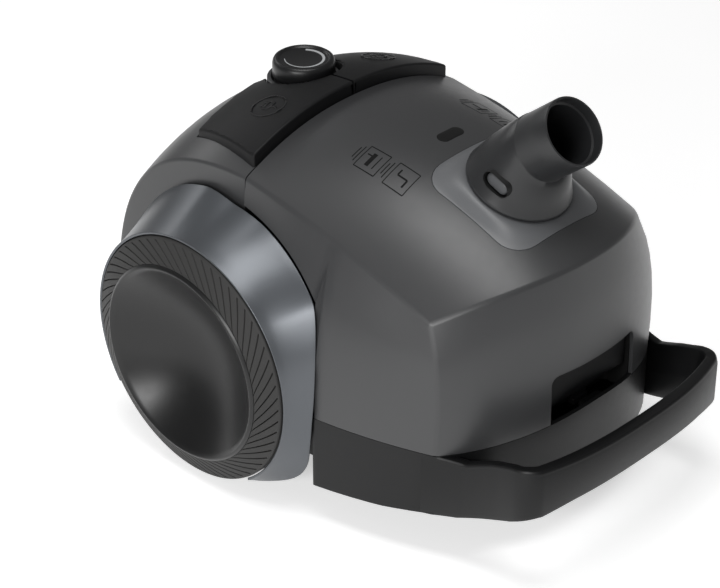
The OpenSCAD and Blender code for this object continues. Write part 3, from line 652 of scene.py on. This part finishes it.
POCKETS = [PORT @ Matrix.Translation((side * 28, -2, 15)) @ Matrix.Rotation(math.radians(90 * side), 4, "Y")
           for side in (-1, 1)]
elbow_bm = bmesh.new()
ring_chain(elbow_bm, elbow_rings, 72)
for at in POCKETS:
    slot_line = [Vector((-p.y, p.x)) for p in outline_box(20, 11, 5.4, 6)]
    cut_opening(elbow_bm, slot_line, at, deep=7)
put_piece("elbow", elbow_bm, "elbow", ELBOW, ["hose_elbow"], smooth=40)

# %% [markdown]
# A small pocket on each side of the elbow holds a release button. The pocket is a shallow cup with
# the outline of the cut, and the button is a pill with a domed face.

# %% Release buttons
for at, side in zip(POCKETS, ("left", "right")):
    cup_bm = bmesh.new()
    loops = [closed_loop(cup_bm, [(-p.y * s, p.x * s, z) for p in outline_box(20.4, 11.4, 5.6, 6)])
             for s, z in ((1, 3.6), (1, -3.0))]
    bmesh.ops.bridge_loops(cup_bm, edges=loops[0] + loops[1])
    bmesh.ops.contextual_create(cup_bm, geom=loops[1])
    bmesh.ops.transform(cup_bm, matrix=at, verts=cup_bm.verts)
    put_piece(f"{side}_button_cup", cup_bm, "elbow", DARK, smooth=50)
    pill_bm = bmesh.new()
    loops = [closed_loop(pill_bm, [(-p.y * s, p.x * s, z) for p in outline_box(17, 8.6, 4.2, 6)])
             for s, z in ((1, -0.7), (1, 1.3), (0.94, 2.0), (0.78, 2.4), (0.4, 2.6))]
    for a, b in zip(loops, loops[1:]):
        bmesh.ops.bridge_loops(pill_bm, edges=a + b)
    bmesh.ops.contextual_create(pill_bm, geom=loops[-1])
    bmesh.ops.transform(pill_bm, matrix=at, verts=pill_bm.verts)
    put_piece(f"{side}_button", pill_bm, f"{side}_button", GREY, [f"{side}_release_button"],
              smooth=40)

# %% [markdown]
# The bag window is a lens of black plastic set flush in the roof. Beside it the lid carries printed
# marks: four framed signs, each with a few lines. Print is a film with no thickness to speak of, so
# each stroke is a narrow strip of faces laid a twentieth of a millimetre above the roof.

# %% Window and printed marks
lens_bm = bmesh.new()
lens_line = outline_box(21.4, 9.4, 4.65, 8)
loops = [closed_loop(lens_bm, [(p.x * s, p.y * s - 97, roof_z(p.x * s, p.y * s - 97) + z) for p in lens_line])
         for s, z in ((1, -0.8), (1, 0.12), (0.95, 0.2), (0.5, 0.22))]
for a, b in zip(loops, loops[1:]):
    bmesh.ops.bridge_loops(lens_bm, edges=a + b)
bmesh.ops.contextual_create(lens_bm, geom=loops[-1])
put_piece("window_lens", lens_bm, "lid", LENS, ["bag_window"])


def stroke(bm, a, b, width, lift=0.05, height=roof_z):
    """A strip of print from a to b, laid on a surface."""
    a, b = Vector(a), Vector(b)
    along = b - a
    across = Vector((-along.y, along.x)).normalized() * width / 2
    steps = max(1, int(along.length / 4))

    def point(u, v):
        p = a + along * u + across * (2 * v - 1)
        return Vector((p.x, p.y, height(p.x, p.y) + lift))

    curved_grid(bm, steps, 1, point)


def sign(bm, x, y, glyph):
    """A framed sign about 17 mm across, its strokes given on a square from -1 to 1."""
    half = 8.6
    frame_line = [(-1, -1), (1, -1), (1, 1), (-1, 1), (-1, -1)]
    for a, b in zip(frame_line, frame_line[1:]):
        stroke(bm, (x + a[0] * half, y + a[1] * half), (x + b[0] * half, y + b[1] * half), 0.7)
    for x0, y0, x1, y1, width in glyph:
        stroke(bm, (x + x0 * half, y + y0 * half), (x + x1 * half, y + y1 * half), width)


BRUSH = ((-0.62, -0.3, 0.62, -0.3, 2.2), (0, -0.3, 0, 0.7, 1.2), (-0.5, -0.62, 0.5, -0.62, 0.7))
ROLLER = ((-0.6, 0.15, 0.6, 0.15, 3.2), (-0.6, -0.45, 0.6, -0.45, 0.8), (0.3, 0.3, 0.3, 0.75, 1.0))
NOZZLE = ((-0.55, -0.5, 0.1, -0.5, 1.4), (0.1, -0.5, 0.1, 0.45, 1.2), (0.1, 0.45, 0.6, 0.45, 1.2))
CREVICE = ((-0.5, 0.5, 0.5, 0.5, 1.0), (-0.5, 0.0, 0.5, 0.0, 2.0), (0, -0.6, 0, 0.0, 1.0))
print_bm = bmesh.new()
for x, y, glyph in ((-51, -77, ROLLER), (-51, -102, NOZZLE), (51, -77, BRUSH), (51, -102, CREVICE)):
    sign(print_bm, x, y, glyph)
    for line, long in enumerate((13, 9)):
        behind = y + 11.4 + 2.4 * line
        stroke(print_bm, (x - long / 2, behind), (x + long / 2, behind), 0.8)
put_piece("lid_print", print_bm, "lid", PRINT, smooth=60)

# %% [markdown]
# The rear housing is a dome that carries on from the lid's roof and drops to the back. It is one grid
# again: down its length the profile follows a power of sine and cosine, which is fuller than a
# circle, and two more columns on each side make its flat cheeks behind the wheels.

# %% Rear housing
DOME_Y, DOME_Z, WELL_HALF = -11, 60, 104


def dome_reach(u):
    return 136 - DOME_Y - 14 * u * u


def dome_point(u, a):
    top = roof_z(u * SHELL_HALF, DOME_Y) - DOME_Z
    return Vector((u * SHELL_HALF, DOME_Y + dome_reach(u) * math.sin(a) ** 0.8,
                   DOME_Z + top * max(0.0, math.cos(a)) ** 0.8))


def dome_top(x, y):
    """Height of the dome over a point."""
    u = x / SHELL_HALF
    s = min(1, max(0, (y - DOME_Y) / dome_reach(u)) ** 2.5)
    return DOME_Z + (roof_z(x, DOME_Y) - DOME_Z) * (1 - s) ** 0.4


DOME_COLUMNS, CHEEK = 34, 2


def housing_point(u, v):
    i = round(u * (DOME_COLUMNS + 2 * CHEEK)) - CHEEK
    a = v * TAU / 4
    side = -1 if i < 0 else 1
    if 0 <= i <= DOME_COLUMNS:
        return dome_point(i / DOME_COLUMNS * 2 - 1, a)
    ridge = dome_point(side, a)
    foot = Vector((side * WELL_HALF, ridge.y, DOME_Z - 3))
    out = -i if i < 0 else i - DOME_COLUMNS
    return ridge.lerp(foot, out / CHEEK)


housing_bm = bmesh.new()
curved_grid(housing_bm, DOME_COLUMNS + 2 * CHEEK, 30, housing_point)
bmesh.ops.remove_doubles(housing_bm, verts=housing_bm.verts, dist=0.01)
face_outward(housing_bm, Vector((0, 30, 80)))


def on_ridge(p):
    return abs(abs(p.x) - SHELL_HALF) < 0.01


bevel_lines(housing_bm, lambda a, b: on_ridge(a) and on_ridge(b) and min(a.z, b.z) > 70, 5.4)
PEDAL_LINE = [Vector(p) for p in ((0.8, -11), (92, -11), (80, 55), (22, 62), (0.8, 45))]


def pedal_hole(side):
    """The pedal's outline, 0.8 mm larger."""
    middle = Vector((45, 22))
    grown = [p + 0.8 * Vector((math.copysign(1, p.x - middle.x), math.copysign(1, p.y - middle.y)))
             for p in PEDAL_LINE]
    grown[0].y = grown[1].y = -30
    points = [Vector((p.x * side, p.y)) for p in grown]
    return points if side > 0 else points[::-1]


for side in (1, -1):
    cut_opening(housing_bm, pedal_hole(side), Matrix.Translation((0, 0, 220)), deep=60)
KNOB_AT = Vector((0, 35.6))
cut_opening(housing_bm, outline_circle(25.8, 48, KNOB_AT), Matrix.Translation((0, 0, 220)), deep=40)
GRILLE_AT = Matrix.Translation((20, 130, 90)) @ Matrix.Rotation(math.radians(-90), 4, "X")
cut_opening(housing_bm, outline_box(90.8, 48.8, 1.5, 3), GRILLE_AT, deep=40)
OUTLET_AT = Matrix.Translation((-64, 130, 100)) @ Matrix.Rotation(math.radians(-90), 4, "X")
cut_opening(housing_bm, outline_circle(9, 32), OUTLET_AT, deep=30)
put_piece("housing_shell", housing_bm, "base", SHELL, ["rear_housing"], centre=(0, 30, 80),
          wall=WALL, edge=0.45)

# %% [markdown]
# Each pedal is a black pad that stands proud of the dome and hugs the knob. Its top is the dome's own
# surface lifted by 9 mm at the front and half of that at the back. We cut the outline and the round
# bite for the knob out of a grid, pull the rest down into a solid, and round its upper edge.

# %% Pedals
def pedal_height(x, y):
    b = min(1, max(0, (y - DOME_Y) / 70))
    return dome_top(x, y) + mix(9, 4.5, b)


def pedal_mesh(side):
    bm = bmesh.new()
    curved_grid(bm, 34, 28, lambda u, v: Vector((side * mix(-2, 96, u), mix(-14, 68, v), 0)))
    line = [Vector((p.x * side, p.y)) for p in PEDAL_LINE]
    cut_opening(bm, line if side > 0 else line[::-1], ABOVE, keep_inside=True)
    cut_opening(bm, outline_circle(26.2, 64, KNOB_AT), ABOVE)
    for v in bm.verts:
        v.co.z = pedal_height(v.co.x, v.co.y)
    top = list(bm.faces)
    lower = bmesh.ops.extrude_face_region(bm, geom=top)
    sunk = [v for v in lower["geom"] if isinstance(v, bmesh.types.BMVert)]
    bmesh.ops.translate(bm, vec=(0, 0, -12), verts=sunk)
    bmesh.ops.recalc_face_normals(bm, faces=bm.faces)
    crest = [e for e in bm.edges if len(e.link_faces) == 2 and e.calc_face_angle() > 0.9
             and max(v.co.z - pedal_height(v.co.x, v.co.y) for v in e.verts) > -1]
    bmesh.ops.bevel(bm, geom=crest, offset=1.7, segments=4, profile=0.5, affect="EDGES", clamp_overlap=False,
                    material=-1)
    return bm


for side, node in ((-1, "rewind"), (1, "power")):
    put_piece(f"{node}_pad", pedal_mesh(side), node, CONTROL, [f"{node}_pedal"], smooth=40)

# %% [markdown]
# A raised sign on each pedal tells the foot which is which: a plug in a ring, and a plain ring with a
# bar. Each is a thin raised line of the same black, so only its edges show.

# %% Raised signs on the pedals
def raised_line(bm, points, width=1.1, lift=0.35):
    for a, b in zip(points, points[1:]):
        stroke(bm, a, b, width, lift, pedal_height)


for side, node in ((-1, "rewind"), (1, "power")):
    sign_bm = bmesh.new()
    middle = Vector((side * 52, 16))
    ring = outline_circle(11.5, 40, middle)
    raised_line(sign_bm, ring + ring[:1])
    if side < 0:
        raised_line(sign_bm, [middle + Vector(p) for p in ((-4, -2), (4, -2), (4, 2.5), (-4, 2.5), (-4, -2))])
        raised_line(sign_bm, [middle + Vector((0, -2)), middle + Vector((0, -7))])
        for x in (-2, 2):
            raised_line(sign_bm, [middle + Vector((x, 2.5)), middle + Vector((x, 5.5))])
    else:
        raised_line(sign_bm, [middle + Vector((0, 2)), middle + Vector((0, 7))])
        arc = [middle + 5.5 * Vector((math.sin(a), math.cos(a))) for a in [0.6 + i * 0.25 for i in range(21)]]
        raised_line(sign_bm, arc)
    raised = put_piece(f"{node}_sign", sign_bm, node, KNOB, smooth=60)
    thick = raised.modifiers.new("wall", "SOLIDIFY")
    thick.thickness, thick.offset = 0.0004, -1

# %% [markdown]
# The power knob is turned on a lathe, so a spun profile makes it: a skirt, a rounded rim, and a sunk
# disc. The printed arc that widens round the disc shows where the power grows. Round the knob lies a
# grey collar on a short seat.

# %% Knob and collar
KNOB_FRAME = Matrix.Translation((0, KNOB_AT.y, 0))
knob_bm = bmesh.new()
KNOB_PROFILE = [(0, 231.6), (20.6, 231.6), (21.3, 232.3), (21.3, 240.6), (21.0, 242.3), (20.2, 243.8),
                (19.0, 244.6), (17.9, 244.6), (17.2, 244.2), (16.8, 243.4), (16.2, 243.2), (0, 243.2)]
lathe(knob_bm, KNOB_PROFILE, KNOB_FRAME)
put_piece("knob_cap", knob_bm, "knob", KNOB, ["power_knob"], smooth=50)
stem_bm = bmesh.new()
lathe(stem_bm, [(0, 212), (2.6, 212), (3, 212.4), (3, 232), (0, 232)], KNOB_FRAME, 32)
put_piece("knob_stem", stem_bm, "knob", KNOB, smooth=40)
arc_bm = bmesh.new()


def arc_point(u, v):
    a = math.radians(mix(-225, 40, u))
    r = mix(12.6, 12.6 + mix(0.5, 2.4, u), v)
    return Vector((r * math.cos(a), KNOB_AT.y + r * math.sin(a), 243.28))


curved_grid(arc_bm, 60, 1, arc_point)
put_piece("knob_scale", arc_bm, "knob", PALE, centre=(0, KNOB_AT.y, 200))
collar_bm = bmesh.new()
COLLAR_PROFILE = [(22, 225), (22, 230.4), (22.5, 231), (24.4, 231), (25, 230.4), (25, 225), (22, 225)]
lathe(collar_bm, COLLAR_PROFILE, KNOB_FRAME)
put_piece("collar", collar_bm, "base", SHELL, ["knob_collar"], smooth=40)
seat_bm = bmesh.new()
lathe(seat_bm, [(14, 212), (14, 225), (25.3, 225), (25.3, 212), (14, 212)], KNOB_FRAME)
put_piece("collar_seat", seat_bm, "base", SHELL, smooth=40)

# %% [markdown]
# The fairings sweep from the shell's edge out to a circle round each wheel. Their outer line is given
# by a short table of angle, distance out and radius, and between that line and the circle the grid
# follows a gentle power curve. The left one is the mirror of the right one.

# %% Wheel fairings
FAIRING_EDGE = ((-53, 138, 91.5), (-42, 129, 103), (-33, 125, 106), (-15, 130, 101), (0, 130.2, 100.6),
                (18, 128, 105.6), (37, 117.5, 113.6), (49, 112.5, 109.6), (60, 108.2, 106),
                (73, 104.8, 103.4),
                (87, 104.4, 103), (100, 104.2, 108), (114, 104.2, 108), (138, 104.2, 105), (160, 104.2, 101),
                (185, 104.2, 97), (215, 104.2, 94))


FAIRING_FROM, FAIRING_TO, ARCH_X, ARCH_GAP = -53, 215, 145, 2.3


def soft_edge(column, a):
    """The table's value at angle a, with its corners eased except at the knee and above it."""
    table = [(p[0], p[column]) for p in FAIRING_EDGE]
    reach = 7 if a < 26 else 1.5
    return sum(between(table, a + reach * step) for step in (-1, -0.5, 0, 0.5, 1)) / 5


def fairing_point(u, v):
    a = mix(FAIRING_FROM, FAIRING_TO, u)
    r = mix(WHEEL_R + ARCH_GAP, soft_edge(2, a), v ** 1.2)
    x = mix(ARCH_X, soft_edge(1, a) + 0.3, v)
    a = math.radians(a)
    return Vector((x, -r * math.cos(a), WHEEL_R + r * math.sin(a)))


for side, name in ((-1, "left"), (1, "right")):
    bm = bmesh.new()
    curved_grid(bm, 134, 8, fairing_point)
    if side < 0:
        bmesh.ops.scale(bm, vec=(-1, 1, 1), verts=bm.verts)
    put_piece(f"{name}_arch", bm, "base", FAIRING, [f"{name}_fairing"],
              centre=(side * 20, 0, WHEEL_R), wall=1.9, edge=0.5)

# %% [markdown]
# A tyre's outer face carries sixty slanted grooves. They are real cuts, so they must follow the mesh:
# the grid itself is sheared round the wheel, and one column in ten is pushed in to a thin dark line.
# The dish inside is a spun profile, deep and polished.

# %% Tyres
GROOVES, PER_GROOVE = 60, 10
TYRE_RINGS = (70.2, 70.8, 73, 75.5, 78, 80.5, 83, 85, 85.6)


def tyre_face(u, v):
    column = round(u * GROOVES * PER_GROOVE)
    r = TYRE_RINGS[round(v * (len(TYRE_RINGS) - 1))]
    lean = math.radians(17) * ((r - 70.2) / 14) ** 0.8
    a = TAU * column / (GROOVES * PER_GROOVE) + lean
    x = mix(152.6, 146.5, (r - 70.2) / 14)
    cut = column % PER_GROOVE == 0 and 70.5 < r < 85.2
    return Vector((x - (1.4 if cut else 0), -r * math.cos(a), WHEEL_R + r * math.sin(a)))


WHEEL_FRAME = Matrix.Translation((0, 0, WHEEL_R)) @ Matrix.Rotation(math.radians(90), 4, "Y")
TYRE_BACK = [(85.6, 145.89), (86.2, 145.6), (86.8, 145.0), (87, 144.2), (87, 120), (86.4, 118.6),
             (85, 118), (70.2, 118), (70.2, 152.6)]
DISH_X, RIM_R, RIM_X = 122, 67.5, 154.5


def dish_x(r):
    return DISH_X + (RIM_X - DISH_X) * (r / RIM_R) ** 2


dish_profile = [(RIM_R * i / 22, dish_x(RIM_R * i / 22)) for i in range(22)]
dish_profile += [(67.4, 154.4), (67.8, 154.5), (68.4, 154.4), (69.2, 153.8), (70, 152.9), (70, 120),
                 (67, 120)]
dish_profile += [(67 * i / 12, dish_x(67 * i / 12) - 2.6) for i in range(11, -1, -1)]
for side, name in ((-1, "left"), (1, "right")):
    bm = bmesh.new()
    curved_grid(bm, GROOVES * PER_GROOVE, len(TYRE_RINGS) - 1, tyre_face)
    lathe(bm, TYRE_BACK, WHEEL_FRAME, 160)
    if side < 0:
        bmesh.ops.scale(bm, vec=(-1, 1, 1), verts=bm.verts)
    put_piece(f"{name}_tread", bm, f"{name}_wheel", RUBBER, [f"{name}_tyre"], smooth=40)
    bm = bmesh.new()
    lathe(bm, dish_profile, WHEEL_FRAME, 128)
    lathe(bm, [(6.5, 106), (10, 106), (10, 121), (6.5, 121), (6.5, 106)], WHEEL_FRAME, 48)
    if side < 0:
        bmesh.ops.scale(bm, vec=(-1, 1, 1), verts=bm.verts)
    put_piece(f"{name}_dish", bm, f"{name}_wheel", DISH, [f"{name}_disc"], smooth=30)

# %% [markdown]
# The tub is the black tray that holds everything. Its shape is exact already, so we take a copy of
# the CAD solid, merge its triangles, and let the flat ones join.

# %% Tub
tub_bm = bmesh.new()
tub_bm.from_mesh(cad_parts["base_chassis"].data)
tub_bm.transform(TO_FRAME.inverted())
bmesh.ops.remove_doubles(tub_bm, verts=tub_bm.verts, dist=0.005)
bmesh.ops.dissolve_limit(tub_bm, angle_limit=0.01, verts=tub_bm.verts, edges=tub_bm.edges)
put_piece("tub_tray", tub_bm, "base", TUB, ["base_chassis"], smooth=30)

# %% [markdown]
# The carrying bar is a bumper and a handle at once. It carries on the tub's sides, rises, and closes
# round the front. Its section changes along the way, so we sweep a closed outline along the bar's
# outer line: a flat rim on top with a small double edge outside, and a hollow that falls to the
# inside.

# %% Carrying bar
BAR_TOP = ((-280, 94.5), (-250, 94.2), (-238, 92.6), (-222, 87.4), (-204, 79.4), (-184, 79.2))
BAR_LOW = ((-280, 72), (-268, 70), (-255, 64), (-240, 53), (-228, 48), (-197, 37), (-180, 34))


def bar_line(s):
    """Outer line of the bar's left half, from the root at s = 0 to the middle of the front at s = 1."""
    if s < 0.28:
        y = mix(-176, -241, s / 0.28)
        d = -184 - y
        return Vector((-max(97, 106.6 - 0.39 * d + 0.0039 * d * d), y))
    if s < 0.42:
        a = math.radians(mix(0, 60, (s - 0.28) / 0.14))
        return Vector((-79 - 18 * math.cos(a), -241 - 18 * math.sin(a)))
    x = max(0, mix(88, 0, (s - 0.42) / 0.58))
    return Vector((-x, -268 + 11.4 * (x / 88) ** 2.6))


def bar_station(s):
    """Point and inward direction at s from 0 to 2."""
    side = 1
    if s > 1:
        s, side = 2 - s, -1
    p = bar_line(s)
    ahead, behind = bar_line(min(1, s + 0.004)), bar_line(max(0, s - 0.004))
    along = ahead - behind
    if s > 0.996:
        along = Vector((1, 0))
    inward = Vector((-along.y, along.x)).normalized()
    return Vector((p.x * side, p.y)), Vector((inward.x * side, inward.y))


# Each point of the section: share of the width inwards, share of the height, millimetres up.
BAR_SECTION = ((0.05, 0, 0), (0, 0, 2.5), (0, 1, -4.6), (0.03, 1, -3.6), (0.035, 1, -2.2), (0.06, 1, -0.9),
               (0.11, 1, -0.1), (0.18, 1, 0), (0.46, 1, 0), (0.52, 1, -0.5), (0.57, 1, -1.8), (0.64, 1, -5.5),
               (0.72, 1, -10), (0.82, 1, -14.2), (0.93, 1, -17.2), (0.98, 1, -18.6), (1, 1, -20.5),
               (1, 0, 5), (0.93, 0, 2.2), (0.8, 0, 0.8), (0.4, 0, 0), (0.05, 0, 0))


def bar_point(u, v):
    s = 2 * u
    p, inward = bar_station(s)
    width = between(((0, 14), (0.28, 13.5), (0.42, 15.5), (0.7, 17), (1, 17)), s if s < 1 else 2 - s)
    share, tall, up = BAR_SECTION[round(v * (len(BAR_SECTION) - 1))]
    top, low = between(BAR_TOP, p.y), between(BAR_LOW, p.y + 0.5 * width * inward.y)
    drop = (top - low) / 33
    q = p + inward * width * share
    z = mix(low, top, tall) + up * min(1, drop)
    return Vector((q.x, q.y, z))


bar_bm = bmesh.new()
curved_grid(bar_bm, 200, len(BAR_SECTION) - 1, bar_point)
bmesh.ops.remove_doubles(bar_bm, verts=bar_bm.verts, dist=0.01)
bmesh.ops.holes_fill(bar_bm, edges=[e for e in bar_bm.edges if e.is_boundary], sides=0)
put_piece("carry_bar", bar_bm, "base", TUB, ["carry_handle"], smooth=32)

# %% [markdown]
# The dust bag fills the room under the lid. Cloth that is full of dust swells between its seams, so
# the bag is a box whose corners are drawn in and whose sides are crowned, with shallow creases.

# %% Dust bag
bag_low, bag_high = (1000 * v - Vector((0, AXLE_Y, 0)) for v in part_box("dust_bag"))
bag_bm = bmesh.new()
bmesh.ops.create_cube(bag_bm, size=2)
bmesh.ops.subdivide_edges(bag_bm, edges=bag_bm.edges, cuts=23, use_grid_fill=True)
middle, half = (bag_low + bag_high) / 2, (bag_high - bag_low) / 2
for v in bag_bm.verts:
    flat = v.co.copy()
    power = sum(abs(c) ** 4 for c in flat) ** 0.25
    p = flat / power
    crease = 0.012 * math.sin(9 * p.x + 5 * p.z) * math.sin(7 * p.y - 4 * p.z)
    narrow = 1 - 0.16 * max(0, p.z) ** 2 - 0.12 * max(0, -p.z) ** 2
    v.co = middle + Vector((p.x * half.x * narrow, p.y * half.y * narrow, p.z * half.z)) * (0.96 + crease)
bag = put_piece("bag", bag_bm, "base", BAG_CLOTH, ["dust_bag"], smooth=60)

# %% [markdown]
# Every other part keeps its exact CAD shape. Its mesh is loose triangles, so a Weld modifier joins
# them, a Bevel rounds what a tool would round, and the normals are weighted so that flat faces stay
# flat. Each gets the finish of its material.

# %% The remaining parts
FINISHES = {
    TUB: ("caster_fork",),
    INNER: ("bulkhead", "motor_housing", "filter_frame", "cord_reel", "reel_bracket", "speed_control",
            "bag_collar"),
    CONTROL: ("lid_latch", "port_ring", "cord_outlet", "exhaust_grille"),
    RUBBER: ("caster_wheel", "motor_mounts"),
    SEAL: ("lid_seal", "port_seal"),
    STEEL: ("lid_hinge_pins", "latch_pin", "rewind_spring", "power_spring", "left_axle", "right_axle",
            "left_clip", "right_clip", "caster_pin", "motor_shaft", "reel_axle", "body_screws",
            "reel_spring"),
    BEARING: ("left_bush", "right_bush"),
    BOARD: ("circuit_board",),
    COPPER: ("motor_stator",),
    FAN: ("fan_impeller",),
    HOLDER: ("bag_holder",),
    FLAG: ("bag_flag",),
    FILTER_CLOTH: ("motor_filter", "exhaust_filter"),
}
for material, names in FINISHES.items():
    for node in names:
        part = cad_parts[node]
        part.data.materials.clear()
        part.data.materials.append(material)
        part.data.shade_smooth()
        weld = part.modifiers.new("weld", "WELD")
        weld.merge_threshold = 0.00001
        round_edges(part, 0.25, 40)
dressed = {node for names in FINISHES.values() for node in names}
left = [n for n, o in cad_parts.items() if n not in dressed and not o.hide_render]
print("dressed", len(dressed), "left over", left)

# %% [markdown]
# The floor is a wide white sheet that glows a little, as a light table does, so that it stays white
# while the machine keeps its dark tones.

# %% Floor
floor_bm = bmesh.new()
bmesh.ops.create_grid(floor_bm, x_segments=1, y_segments=1, size=6)
floor_mesh = bpy.data.meshes.new("floor")
floor_bm.to_mesh(floor_mesh)
floor_bm.free()
floor = bpy.data.objects.new("floor", floor_mesh)
scene.collection.objects.link(floor)
floor.data.materials.append(moulded("floor_white", (0.9, 0.9, 0.9), 0.7, grain=0.0, mottle=0.01,
                                    **{"Emission Color": (1, 1, 1, 1), "Emission Strength": 0.5}))
